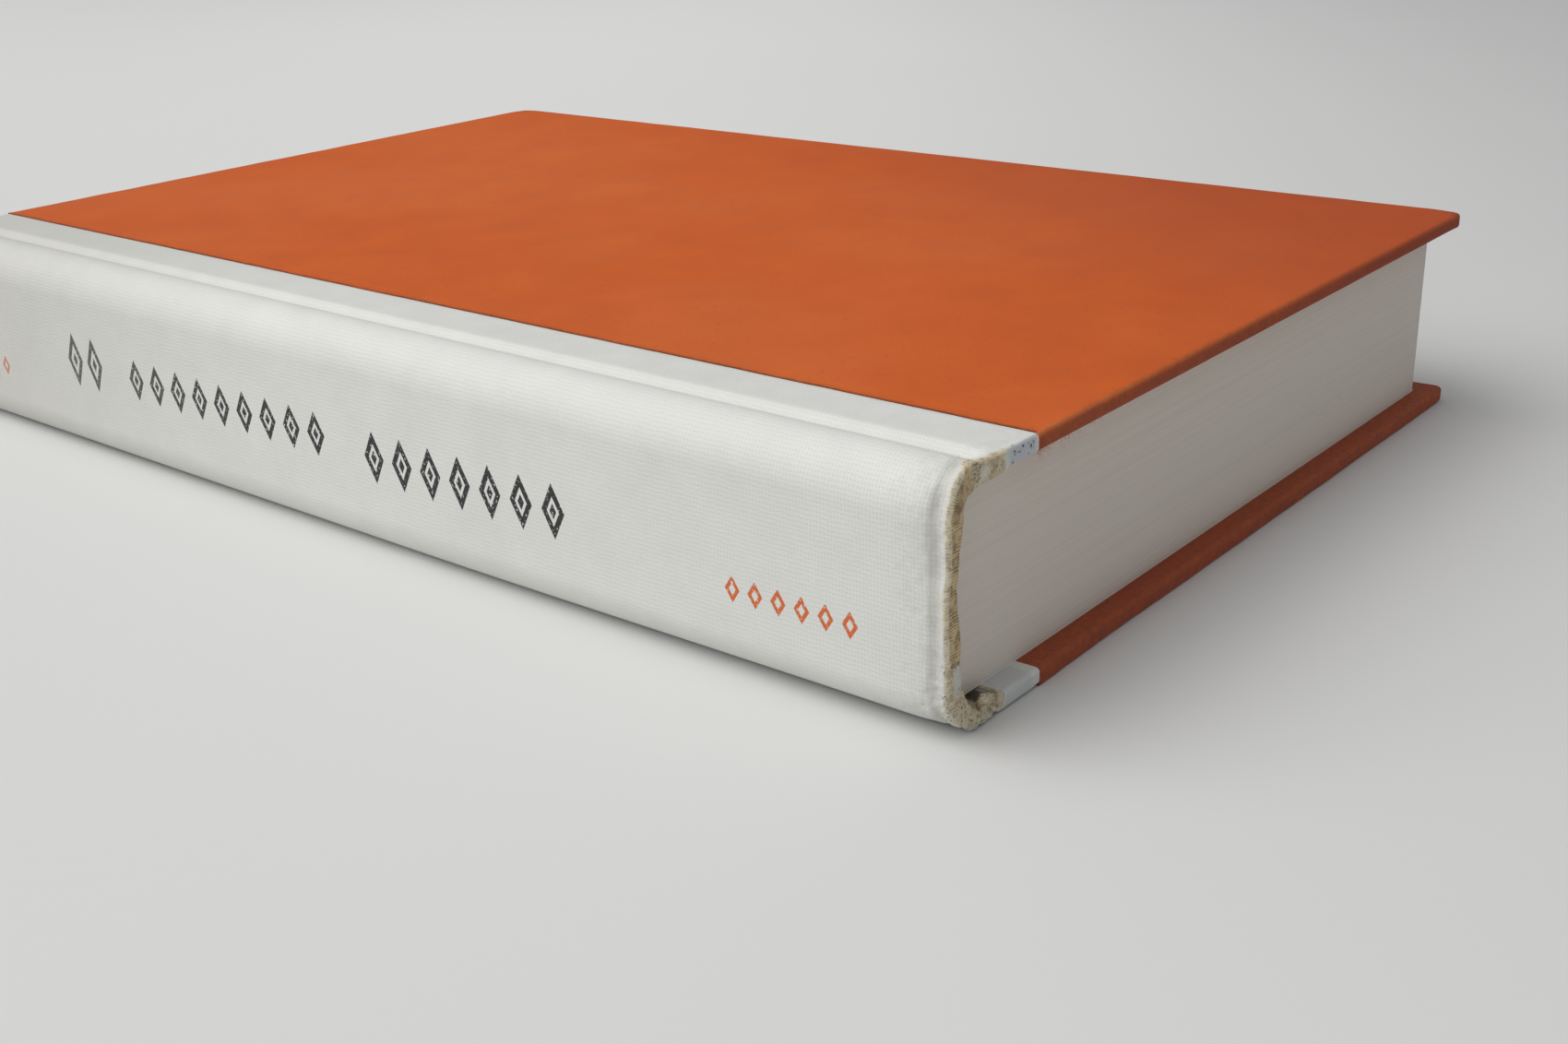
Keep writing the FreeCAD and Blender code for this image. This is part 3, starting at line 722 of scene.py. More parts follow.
@dataclass
class ClothHalf:
    """Half of the one piece of cloth: from the middle of the spine over shoulder and joint to a board, turned in at both ends."""

    side: Side
    finish: bpy.types.Material
    middle: float = 15.65
    face: float = 15.65
    groove: float = 14.65
    crest: float = 15.65
    spine_x: float = -72.35
    inner_x: float = -69.75
    half_tall: float = 108.0
    board_deep: float = 2.4
    turn_in: float = 15.0
    thick: float = 0.12
    sunk: float = 0.11
    grain: Grain = field(default_factory=lambda: Grain(71))

    def __post_init__(self) -> None:
        """Raise the front ridge, which stands above its board."""
        if self.side is Side.FRONT:
            self.crest = 16.15

    def outline(self) -> np.ndarray:
        """Return the outer profile from mid-spine to under the paper: (n, 2) of x and height from mid-thickness.

        In order: the flat spine, the shoulder arc, the crown arc, two equal arcs down into the groove, the groove,
        a smooth step up to the board, the board, and a dip under the paper.
        """

        def arc(x: float, h: float, radius: float, first: float, last: float, count: int) -> np.ndarray:
            turn = np.radians(np.linspace(first, last, count))
            return np.stack([x + radius * np.cos(turn), h + radius * np.sin(turn)], axis=-1)

        shoulder = self.crest - 5.9
        drop, run = self.crest - self.groove, 3.3
        bend = 2.0 * math.degrees(math.atan(drop / run))
        radius = (run * run + drop * drop) / (4.0 * drop)
        x = np.linspace(-63.4, -61.75, 40)
        rise = np.stack([x, self.groove + (self.face - self.sunk - self.groove) * ease((x + 63.4) / 1.65)], axis=-1)
        flat = np.linspace(-61.6, -50.5, 120)
        dip = self.face - self.sunk - 0.12 * ease((flat + 54.9) / 0.7)
        parts = [
            np.array([[self.spine_x, 0.0]]),
            arc(-66.18, shoulder, 6.17, 180.0, 118.1, 60),
            arc(-67.25, self.crest - 3.9, 3.9, 117.0, 90.0, 30),
            arc(-67.25, self.crest - radius, radius, 88.0, 90.0 - bend, 30),
            arc(-63.95, self.groove + radius, radius, 270.0 - bend + 2.0, 270.0, 30),
            rise,
            np.stack([flat, dip], axis=-1),
        ]
        return np.concatenate(parts)

    def end_marks(self) -> np.ndarray:
        """Return pairs of places (outer x, height, inner x, height) that the rolled end joins, from mid-spine outwards."""
        below = self.face - self.board_deep
        if self.side is Side.FRONT:
            return np.array([
                (self.spine_x, 0.0, -69.55, 0.0), (self.spine_x, 2.95, -69.85, 2.9), (self.spine_x, 4.65, -69.5, 4.6),
                (self.spine_x, 7.65, -69.0, 7.6), (self.spine_x, 10.25, -68.55, 10.4), (-71.52, 13.33, -68.3, 11.6),
                (-70.54, 14.61, -67.9, 12.2), (-69.09, 15.69, -67.4, 12.5), (-67.25, 16.15, -66.8, 12.65),
                (-65.6, 15.4, -65.5, 12.7), (-62.6, 14.75, -62.6, 12.75), (-61.5, 15.54, -61.5, 12.9), (-60.0, 15.54, -60.0, below),
            ])
        return np.array([
            (self.spine_x, 0.0, -69.55, 0.0), (self.spine_x, 2.85, -69.25, 2.8), (self.spine_x, 4.05, -68.95, 4.0),
            (self.spine_x, 5.8, -69.25, 5.8), (self.spine_x, 7.8, -69.1, 7.7), (self.spine_x, 9.75, -68.2, 9.8),
            (-71.52, 12.83, -67.75, 11.3), (-70.54, 14.11, -67.2, 12.5), (-69.09, 15.19, -66.4, 13.4),
            (-67.25, 15.65, -65.75, 13.8), (-66.0, 15.3, -65.4, 13.1),
            (-65.2, 14.9, -65.1, 12.1), (-63.95, 14.65, -64.0, 11.95), (-62.6, 14.75, -62.5, 12.6),
            (-61.6, 15.54, -61.3, 13.15), (-60.4, 15.54, -60.4, below),
        ])

    def inner_line(self, length: np.ndarray, outer: np.ndarray) -> np.ndarray:
        """Return where the rolled end reaches inwards, for each outer point.

        Args:
            length: distance along the outer profile from mid-spine.
            outer: the outer profile at those distances.

        Returns:
            (n, 2) of x and height, joined linearly between the end's marks, straight under the board, then smoothed.
        """
        x, h = outer[:, 0], outer[:, 1]
        table = self.end_marks()
        near = [int(np.argmin((x - mx) ** 2 + (h - mh) ** 2)) for mx, mh in table[:, :2]]
        at = length[near]
        inner = np.stack([np.interp(length, at, table[:, 2]), np.interp(length, at, table[:, 3])], axis=-1)
        board = np.stack([x, np.full_like(x, self.face - self.board_deep)], axis=-1)
        on_board = length > at[-1]
        inner[on_board] = board[on_board]
        kernel = np.array([1.0, 2.0, 3.0, 2.0, 1.0]) / 9.0
        for axis in range(2):
            padded = np.pad(inner[:, axis], 2, mode="edge")
            inner[:, axis] = np.convolve(padded, kernel, mode="valid")
        inner[x > -59.6] = board[x > -59.6]
        inner[0] = table[0, 2:]
        return inner

    def bridged(self, outer: np.ndarray) -> np.ndarray:
        """Return the outer profile at the very ends, where the fold fills the joint and the cap is drawn in.

        Args:
            outer: the profile away from the ends.
        """
        x, h = outer[:, 0], outer[:, 1]
        if self.side is Side.FRONT:
            filled = np.interp(x, [-68.0, -67.0, -66.0, -61.6], [16.15, 16.1, 15.72, self.face - self.sunk])
        else:
            filled = np.interp(x, [-67.3, -66.6, -63.2, -62.5, -61.9, -61.3],
                               [15.65, 15.6, 15.55, 15.1, 14.95, self.face - self.sunk])
        bridge = ease((x + 67.6) / 0.8) * ease((-61.2 - x) / 0.3)
        end = outer.copy()
        end[:, 1] = h + (np.maximum(filled, h) - h) * bridge
        drawn = 0.42 * ease((h - 2.5) / 3.0) * ease((14.6 - h) / 1.6) * ease((-69.5 - x) / 1.0)
        end[:, 0] += drawn if self.side is Side.FRONT else 0.3 * drawn
        return end

    def sample(self) -> tuple[np.ndarray, np.ndarray]:
        """Return distances along the profile and the profile's points there, closer together round the joint."""
        dense = self.outline()
        step = np.linalg.norm(np.diff(dense, axis=0), axis=1)
        length = np.concatenate([[0.0], np.cumsum(step)])
        joint = float(np.interp(-60.2, dense[60:, 0], length[60:]))
        wanted = stations((0.0, 7.0, 12), (7.0, joint, 92), (joint, float(length[-1]), 18))
        points = np.stack([np.interp(wanted, length, dense[:, k]) for k in range(2)], axis=-1)
        return wanted, points

    def build(self) -> bpy.types.Object:
        """Make the piece.

        For each place along the profile the section in the plane of the spine's length and the depth direction is a
        long flat outside, a round end, and a turned-in flap that settles against the inside. Near the ends the outer
        profile passes smoothly into the bridged one.

        Returns:
            The object.
        """
        length, outer = self.sample()
        end = self.bridged(outer)
        inner = self.inner_line(length, outer)
        reach = inner - end
        deep = np.linalg.norm(reach, axis=1)
        ways = reach / deep[:, None]
        on_board = ease((outer[:, 0] + 62.2) / 1.2)
        curve = on_board * 0.62 + (1.0 - on_board) * np.minimum(deep * 0.42, 0.62)
        near_fold = np.where(outer[:, 0] < -66.5, np.minimum(1.35, deep), np.minimum(0.55, deep))
        settled = on_board * deep + (1.0 - on_board) * near_fold
        roll_wide = 0.7 + 1.3 * ease((-66.4 - outer[:, 0]) / 0.6)
        if self.side is Side.FRONT:
            roll_wide = np.full_like(roll_wide, 2.0)

        tail_y, tail_d, tail_e = self.end_section(deep, curve, settled, roll_wide)
        head_y, head_d, head_e = -tail_y[::-1], tail_d[::-1], tail_e[::-1]
        mids = stations((-1.0, -0.955, 26), (-0.955, -0.8, 14), (-0.8, 0.8, 36), (0.8, 0.955, 14), (0.955, 1.0, 26))[1:-1]
        mid_y = mids[:, None] * (self.half_tall - curve)[None, :]
        y = np.concatenate([tail_y, mid_y, head_y])
        depth = np.concatenate([tail_d, np.zeros_like(mid_y), head_d])
        mid_e = -(self.half_tall - curve)[None, :] * (1.0 - np.abs(mids))[:, None] - 1.57 * curve[None, :]
        edge = np.concatenate([tail_e, mid_e, head_e])

        at_end = ease((np.abs(y) - (self.half_tall - 3.9)) / 3.2)
        base = outer[None] + (end - outer)[None] * at_end[..., None]
        x = base[..., 0] + ways[None, :, 0] * depth
        h = base[..., 1] + ways[None, :, 1] * depth
        points = np.stack([x, y, self.middle + self.side.up * h], axis=-1)
        points = self.tucked(points, edge, outer)
        points = self.handle(points, edge, outer, on_board)
        points = self.softened(points, length)

        uv_u = np.broadcast_to(self.side.up * length[None, :], y.shape) * MM
        wrap = np.sign(y) * (self.half_tall + np.maximum(edge, 0.0))
        uv_v = np.where(edge > 0.0, wrap, y) * MM
        masks = self.wear(points, edge, length, outer)
        piece = grid_mesh(
            f"{self.side.value}_cloth_half", points, flip=self.side is Side.FRONT,
            uv=np.stack([uv_u, uv_v], axis=-1), masks=masks)
        thicken(piece, self.thick)
        piece.data.materials.append(self.finish)
        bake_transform(piece)
        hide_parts(f"{self.side.value}_cloth", "spine_cloth")
        return piece

    def end_section(
        self, deep: np.ndarray, curve: np.ndarray, settled: np.ndarray, roll_wide: np.ndarray
    ) -> tuple[np.ndarray, np.ndarray, np.ndarray]:
        """Return the turned-in tail end for every column.

        Args:
            deep: depth of the end, in millimetres, for each column.
            curve: radius of its two corners.
            settled: depth at which the flap lies further in.
            roll_wide: width of the roll before the flap sinks to that depth.

        Returns:
            Arrays (rows, columns) from the flap's edge round to the outside: y, depth, and the distance round the end
            from the place where the outer corner begins to turn to the wall, below 0 on the outside.
        """
        end = self.half_tall
        flap = stations((0.0, 0.76, 6), (0.76, 1.0, 18))[:, None]
        far, near = -end + self.turn_in, -end + curve[None, :]
        flap_y = far + (near - far) * flap
        lift = ease((flap_y + end - roll_wide[None, :]) / 1.1)
        flap_d = deep + (settled - deep) * lift
        turn = np.radians(np.linspace(90.0, 0.0, 8))[1:, None]
        low_y = -end + curve - curve * np.cos(turn)
        low_d = deep - curve + curve * np.sin(turn)
        rise = np.linspace(1.0, 0.0, 7)[1:, None]
        wall_y = np.broadcast_to(-end + 0.0 * curve, (6, len(curve)))
        wall_d = curve + (deep - 2.0 * curve) * rise
        turn = np.radians(np.linspace(0.0, 90.0, 8))[1:, None]
        top_y = -end + curve - curve * np.cos(turn)
        top_d = curve - curve * np.sin(turn)
        y = np.concatenate([flap_y, low_y, wall_y, top_y])
        d = np.concatenate([flap_d, low_d, wall_d, top_d])
        step = np.hypot(np.diff(y, axis=0), np.diff(d, axis=0))
        round_it = np.concatenate([np.cumsum(step[::-1], axis=0)[::-1], np.zeros((1, len(curve)))])
        return y, d, round_it - curve[None, :] * 1.57

    def tucked(self, points: np.ndarray, edge: np.ndarray, outer: np.ndarray) -> np.ndarray:
        """Return the points with the end and the turn-in drawn in under the paper, by the paper's own thickness."""
        cut = -53.4 if self.side is Side.BACK else -54.55
        under = 0.13 * ease((outer[None, :, 0] - cut + 0.1) / 0.6)
        moved = points.copy()
        moved[..., 1] -= np.sign(points[..., 1]) * under * ease((edge + 0.7) / 0.5) * (np.abs(points[..., 1]) > self.half_tall - 1.0)
        height = self.side.up * (points[..., 2] - self.middle)
        inside = ease((self.face - self.board_deep + 0.6 - height) / 0.5)
        moved[..., 2] += self.side.up * under * inside
        return moved

    def softened(self, points: np.ndarray, length: np.ndarray) -> np.ndarray:
        """Return the points with the lower shoulder pressed rounder towards the tail, as the book leans on it.

        The push runs inwards and up, grows smoothly from mid-height to the tail, and fades along the profile both ways
        from the middle of the shoulder arc.

        Args:
            points: (rows, columns, 3).
            length: distance of each column along the profile from mid-spine.
        """
        if self.side is Side.FRONT:
            return points
        middle = 16.4
        along = np.where(length < middle, ease(1.0 - (middle - length) / 7.0), ease(1.0 - (length - middle) / 3.4))
        grown = ease((-points[..., 1] - 15.0) / 95.0)
        push = 0.62 * grown * along[None, :]
        return points + push[..., None] * np.array([0.468, 0.0, 0.884])

    def handle(self, points: np.ndarray, edge: np.ndarray, outer: np.ndarray, on_board: np.ndarray) -> np.ndarray:
        """Return the points with the dents and puckers of use: small along the spine, larger round the two ends.

        Args:
            points: (rows, columns, 3).
            edge: distance round the end from its wall, below 0 on the outside.
            outer: the outer profile.
            on_board: 1 where the cloth is glued to the board.
        """
        normal = normals_of(points) * -self.side.up
        down = np.gradient(points[:, 0], axis=0)
        seam = np.stack([-down[:, 1], down[:, 0], np.zeros(len(down))], axis=-1)
        normal[:, 0] = seam / np.maximum(np.linalg.norm(seam, axis=-1, keepdims=True), 1e-9)
        x = outer[None, :, 0]
        from_end = self.half_tall - np.abs(points[..., 1])
        outside = ease((-edge - 0.45) / 0.5)
        near_end = ease(1.0 + np.minimum(edge + 1.5, 0.0) / 4.0) * ease(1.0 - (edge - 3.5) / 2.0)
        loose = (1.0 - on_board)[None, :]
        free = ease((-54.9 - x) / 1.5)
        broad = self.grain.at(points * np.array([1.0, 0.22, 1.0]), 9.0) - 1.0
        pucker = self.grain.at(points, 1.5) - 0.55
        crumb = self.grain.at(points + 31.0, 0.5) - 0.5
        lumps = 0.5 if self.side is Side.FRONT else 0.5 + 0.8 * ease((np.abs(outer[None, :, 1]) - 7.0) / 2.5)
        push = 0.02 * broad * free * (0.2 + loose)
        push = push + near_end * loose * lumps * (0.17 * pucker + 0.12 * crumb)
        push = push + near_end * (1.0 - loose) * free * (0.02 * pucker + 0.015 * crumb)
        spine = loose * ease((-66.6 - x) / 1.5)
        wander = 0.25 * self.grain.line(outer[:, 1] * self.side.up + 40.0, 3.1)[None, :]
        push = push - outside * spine * (0.30 * hump(from_end, 1.6 + wander, 1.2) + 0.06 * hump(from_end, 4.0, 3.5))
        moved = points + normal * push[..., None]
        return np.stack([np.maximum(moved[..., 0], self.spine_x), moved[..., 1], np.maximum(moved[..., 2], 0.03)], axis=-1)

    def wear(self, points: np.ndarray, edge: np.ndarray, length: np.ndarray, outer: np.ndarray) -> dict[str, np.ndarray]:
        """Return how bare, soiled and spotted each point is, from 0 to 1, and where painted shade lies: a blue-grey
        cast on the tail-facing board ends and a grey fade towards the head.
        """
        x = outer[None, :, 0]
        h = outer[None, :, 1]
        front = self.side is Side.FRONT
        tail = (points[..., 1] < 0.0).astype(float)
        strong = 0.45 + 0.55 * tail
        slow = self.grain.at(points + 7.0, 3.3)
        fast = self.grain.at(points + 19.0, 1.1)
        joint = ease((-59.7 - x + 0.5 * fast) / 2.6)
        corner = hump(x, -66.3, 3.6) if front else ease((h - 8.6) / 1.6) * ease((-60.0 - x) / 1.5)
        start = 0.15 - 1.55 * ease(corner * 2.0) - 0.35 * slow
        bare = ease((edge - start + 0.25) / 0.5) * ease(1.0 - (edge - 4.5) / 1.5) * joint
        cream = ease((edge + 0.95 + 0.3 * slow) / 0.4) * ease((1.3 - edge) / 1.0) * ease((-66.5 - x) / 1.0)
        pores = ease((edge + 1.5 + 0.5 * fast) / 0.8) * corner
        spill = ease(1.0 + (edge + 1.2) / 2.0) * corner
        if front:
            patch = hump(x, -65.1, 2.0) * hump(edge, 0.9, 1.7) * (0.75 + 0.4 * fast)
            puff = ease((x + 69.3) / 1.6) * ease((edge + 1.5) / 0.6)
            cream = np.maximum(cream, puff * joint) * (1.0 - 0.75 * patch)
            bare = bare * (1.0 - patch) * (1.0 - 0.55 * puff)
            bare = np.maximum(bare, 0.46 * spill * (1.0 - patch))
            spots = 0.9 * ease(1.0 + (edge + 0.4) / 1.0) * ease((-55.2 - x) / 0.6) * ease((x + 61.2) / 1.2)
            rim_spill = ease(1.0 + (edge + 0.8) / 1.5) * np.maximum(corner, hump(x, -63.2, 3.4)) * (edge < 1.2)
            bare = np.maximum(bare, (0.44 + 0.12 * fast) * rim_spill * (1.0 - patch))
            spots = np.maximum(spots, 0.72 * np.maximum(spill, rim_spill) * (1.0 - patch))
            pores = 0.8 * pores * (1.0 - patch)
        else:
            whole = ease((h - 5.9) / 0.6)
            bare = bare * (1.0 - 0.75 * whole)
            outer_face = ease((0.5 - edge) / 0.8)
            cream = np.maximum(cream, 0.9 * pores) * (1.0 - 0.42 * outer_face * corner)
            bare = np.maximum(bare, 0.32 * pores) * (1.0 - 0.3 * outer_face * corner)
            pores = (0.66 + 0.15 * slow) * pores
            chip = hump(h, 6.1, 1.1) + hump(h, 9.4, 0.8)
            pores = np.maximum(pores, 0.9 * ease(1.0 + (edge + 1.2) / 0.9) * chip * ease((-69.5 - x) / 0.5))
            spots = 0.55 * ease(1.0 + (edge + 1.3) / 0.9) * chip * ease((-69.5 - x) / 0.5)
        valley = ease(1.0 - np.abs(edge + 2.0) / 1.9)
        fade = ease(1.0 + edge / 9.0)
        rim = np.maximum(0.9 * valley, 0.55 * fade) * (1.0 - 0.75 * ease((x + 67.0) / 2.0)) * (0.55 + 0.45 * tail)
        soil_and_shade = 0.6 * rim * (edge < 0.5)
        if not front:
            soil_and_shade = np.maximum(soil_and_shade, 0.5 * whole * ease(edge / 0.5) * ease((-66.0 - x) / 1.0))
        # painted shade: a blue-grey cast on the tail-facing cloth over the board ends, fading out before the paper's
        # edge
        painted_cool_shade = ease((x + 61.0) / 0.8) * ease((edge + 0.9) / 0.5) * ease((-54.9 - x) / 0.5) * (0.62 if front else 0.35)
        # painted shade: grey growing towards the head, for the light falling off along the spine
        painted_head_shade = 0.36 * ease(points[..., 1] / 105.0)
        values = {"bare": bare * strong, "cream": cream * strong, "pores": pores * strong, "spots": spots * strong,
                  "soil_and_shade": soil_and_shade, "painted_cool_shade": painted_cool_shade, "painted_head_shade": painted_head_shade}
        return {key: np.broadcast_to(value, points.shape[:2]) for key, value in values.items()}


@dataclass
class SpineInlay:
    """The card that stiffens the spine, just under the cloth and pressed to its shape."""

    finish: bpy.types.Material
    halves: tuple[ClothHalf, ClothHalf]
    inset: float = 0.25
    reach: float = 17.6
    half_tall: float = 104.7
    thick: float = 0.6

    def build(self) -> bpy.types.Object:
        """Make the card: the cloth's profile moved in along its own normal, softened as the cloth is, run along the spine."""
        y = stations((-self.half_tall, -90.0, 10), (-90.0, 90.0, 60), (90.0, self.half_tall, 10))
        sheets = []
        for half in self.halves:
            length, outer = half.sample()
            line = np.gradient(outer, axis=0)
            line /= np.linalg.norm(line, axis=1, keepdims=True)
            inner = outer - self.inset * np.stack([-line[:, 1], line[:, 0]], axis=-1)
            inner[0] = (outer[0, 0] + self.inset, 0.0)
            keep = length <= self.reach
            inner, length = inner[keep], length[keep]
            height = half.middle + half.side.up * inner[:, 1]
            points = np.stack(np.broadcast_arrays(inner[None, :, 0], y[:, None], height[None]), axis=-1)
            sheets.append(half.softened(points, length))
        back, front = sheets
        piece = grid_mesh("spine_card", np.concatenate([back[:, ::-1], front[:, 1:]], axis=1), flip=True)
        thicken(piece, self.thick)
        piece.data.materials.append(self.finish)
        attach(piece, "book_block")
        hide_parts("spine_inlay")
        return piece


# ---------------------------------------------------------------------------------------------- the paper sides


@dataclass
class PaperSide:
    """The siding paper of one cover: rings laid in from the board's edge on both faces, cut straight beside the cloth."""

    side: Side
    finish: bpy.types.Material
    middle: float = 15.65
    face: float = 15.65
    cut_x: float = -54.55
    fore_x: float = 72.35
    half_tall: float = 108.0
    deep: float = 2.4
    edge_round: float = 0.72
    outer_round: float = 0.42
    corner: float = 1.5
    turn_in: float = 15.0
    thick: float = 0.12
    # strength and span across the sheet of its grime, which on the back sheet is partly painted shade
    soiled_and_shaded: tuple[float, float, float] = (0.70, -0.1, 3.4)
    grain: Grain = field(default_factory=lambda: Grain(23))

    def rings(self) -> tuple[np.ndarray, np.ndarray, np.ndarray]:
        """Return each ring's inset from the edge, its height, and its distance across the sheet.

        The order is from the middle of the outer face, over a quarter round, down the edge, over a second quarter
        round, to the end of the turn-in.
        """
        top = np.concatenate([np.linspace(self.half_tall, 3.6, 96), np.array([2.8, 2.2, 1.75, 1.35, 1.0, 0.7])])
        turn = np.radians(np.linspace(0.0, 90.0, 7))
        r, tight = self.edge_round, self.outer_round
        over_inset, over_height = tight - tight * np.sin(turn), self.face - tight + tight * np.cos(turn)
        wall = np.linspace(self.face - tight, self.face - self.deep + r, 6)[1:-1]
        under_inset, under_height = r - r * np.cos(turn), self.face - self.deep + r - r * np.sin(turn)
        inner = np.array([1.1, 1.8, 3.2, 6.0, 10.0, self.turn_in])
        inset = np.concatenate([top, over_inset, np.zeros(4), under_inset, inner])
        height = np.concatenate([np.full(len(top), self.face), over_height, wall, under_height,
                                 np.full(len(inner), self.face - self.deep)])
        across = np.concatenate([[0.0], np.cumsum(np.hypot(np.diff(inset), np.diff(height)))])
        rim = int(np.argmax(inset <= 1e-9))
        return inset, height, across - across[rim]

    def __post_init__(self) -> None:
        """Set the back sheet a little further from the joint and darken it more and further in: partly soil, partly
        painted shade where its end and turn-in lie low beside the floor and under the leaves.
        """
        if self.side is Side.BACK:
            self.cut_x, self.soiled_and_shaded = -53.4, (0.74, -1.6, 6.6)

    def build(self) -> bpy.types.Object:
        """Make the piece.

        Each ring is a U: along the tail, round the fore corner, along the fore edge, round the head corner and back.

        Returns:
            The object.
        """
        inset, height, across = self.rings()
        run = stations((0.0, 0.02, 7), (0.02, 0.3, 38), (0.3, 1.0, 46))
        turn = np.radians(np.linspace(-90.0, 0.0, 9))[1:-1]
        fore = stations((-1.0, -0.9, 10), (-0.9, 0.9, 54), (0.9, 1.0, 10))
        round_r = np.maximum(self.corner - inset, 0.12)[:, None]
        wide_x = (self.fore_x - inset[:, None] - round_r)
        tall_y = np.maximum(self.half_tall - inset[:, None] - round_r, 0.0)
        outer_y = tall_y + round_r * (self.half_tall - inset[:, None] > 1e-6)
        tail_x = self.cut_x + (wide_x - self.cut_x) * run[None, :]
        tail = np.stack([tail_x, np.broadcast_to(-outer_y, tail_x.shape)], axis=-1)
        bow_x = wide_x + round_r * np.cos(turn)[None, :]
        bow_y = -tall_y + round_r * np.sin(turn)[None, :]
        bow = np.stack([bow_x, bow_y], axis=-1)
        fore_y = tall_y * fore[None, :]
        side = np.stack([np.broadcast_to(wide_x + round_r, fore_y.shape), fore_y], axis=-1)
        flip_y = np.array([1.0, -1.0])
        flat = np.concatenate([tail, bow, side, (bow * flip_y)[:, ::-1], (tail * flip_y)[:, ::-1]], axis=1)
        flat[0, :, 1] = 0.0
        rise = np.broadcast_to(height[:, None], flat.shape[:2])
        points = np.concatenate([flat, rise[..., None]], axis=-1)
        points, masks = self.handle(points, inset, across)
        points[..., 2] = self.middle + self.side.up * points[..., 2]
        piece = grid_mesh(f"{self.side.value}_paper_side", points, flip=self.side is Side.BACK, masks=masks)
        weld(piece)
        thicken(piece, self.thick)
        piece.data.materials.append(self.finish)
        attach(piece, f"{self.side.value}_cover")
        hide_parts(f"{self.side.value}_paper")
        return piece

    def handle(self, points: np.ndarray, inset: np.ndarray, across: np.ndarray) -> tuple[np.ndarray, dict[str, np.ndarray]]:
        """Return the points with a ragged cut edge and knocked rims, and how rubbed and grimy each is, with grime that
        is partly painted shade on the back sheet, painted shade across the front sheet, and a painted shadow line along
        the cut.

        Args:
            points: (rows, columns, 3), the last being height from mid-thickness.
            inset: each ring's distance from the board's edge.
            across: each ring's distance across the sheet from the rim.
        """
        x, y = points[..., 0], points[..., 1]
        lane = 40.0 if self.side is Side.FRONT else 80.0
        cut = ease(1.0 - (x - self.cut_x) / 6.0)
        rag = 0.13 * self.grain.line(y, 3.7, lane) + 0.10 * self.grain.line(y, 1.9, lane + 5) + 0.16 * self.grain.line(y, 47.0, lane + 9)
        moved = points.copy()
        moved[..., 0] += cut * rag * ease(4.0 * (self.fore_x - x) / 100.0)
        from_cut = x - self.cut_x
        on_face = (across < -0.6)[:, None]
        moved[..., 2] += on_face * (0.07 * ease(1.0 - from_cut / 0.8) - 0.05 * hump(from_cut, 1.5, 1.0))
        rim = ease(1.0 - np.abs(across - 0.4) / 2.4)[:, None]
        near_cut = ease(1.0 - (x - self.cut_x) / 34.0) * (y < 0.0)
        knock = self.grain.at(points * np.array([1.0, 1.0, 0.2]), 5.2) * 0.17 + self.grain.at(points, 1.6) * 0.08 - 0.04
        lift = np.maximum(rim * (0.25 + near_cut) * knock, -0.03 - 0.08 * ease((x + 50.5) / 2.0))
        moved[..., 2] += lift * (across < 1.2)[:, None]
        bow = np.where(np.abs(y) > self.half_tall - 4.0, np.sign(y), 0.0)
        push = rim * (0.25 + near_cut) * (knock - 0.05) * 1.3
        moved[..., 1] += bow * np.maximum(push, -0.03 - 0.08 * ease((x + 50.5) / 2.0))
        corner = ease(1.0 - np.hypot(self.fore_x - x, self.half_tall - np.abs(y)) / 5.0)
        moved[..., 2] -= 0.25 * corner * rim
        moved[..., 2] = np.clip(moved[..., 2], self.face - self.deep - 0.02, self.face + 0.13)
        moved[..., 1] = np.clip(moved[..., 1], -self.half_tall, self.half_tall)
        band = np.broadcast_to(ease(1.0 - np.abs(across + 0.25) / 0.5)[:, None], x.shape)
        rub = band * (0.60 + 0.30 * near_cut) * (self.side is Side.FRONT)
        # grime on the end wall and turn-in and at the fore corner; on the back sheet partly painted shade, reaching in
        # under the leaves
        wall = ease((across - self.soiled_and_shaded[1]) / 0.5) * ease((self.soiled_and_shaded[2] - across) / 0.5)
        grime_and_shade = np.maximum(corner * 0.8, self.soiled_and_shaded[0] * wall[:, None])
        # painted shade on the front sheet: darker towards the fore-edge tail corner and slightly towards the spine at
        # the head, for the light falling off
        painted_falloff_shade = np.zeros_like(x)
        if self.side is Side.FRONT:
            painted_falloff_shade = 0.42 * ease((x / self.fore_x - y / self.half_tall - 0.2) / 1.6)
            painted_falloff_shade = np.maximum(painted_falloff_shade, 0.08 * ease((y / self.half_tall - x / self.fore_x - 0.6) / 1.2))
        # painted shadow line within half a millimetre of the cut, on the outer face
        painted_cut_shadow = 0.66 * ease(1.0 - from_cut / 0.5) * on_face
        return moved, {"rub": rub, "grime_and_shade": grime_and_shade, "painted_falloff_shade": painted_falloff_shade, "cut": painted_cut_shadow}


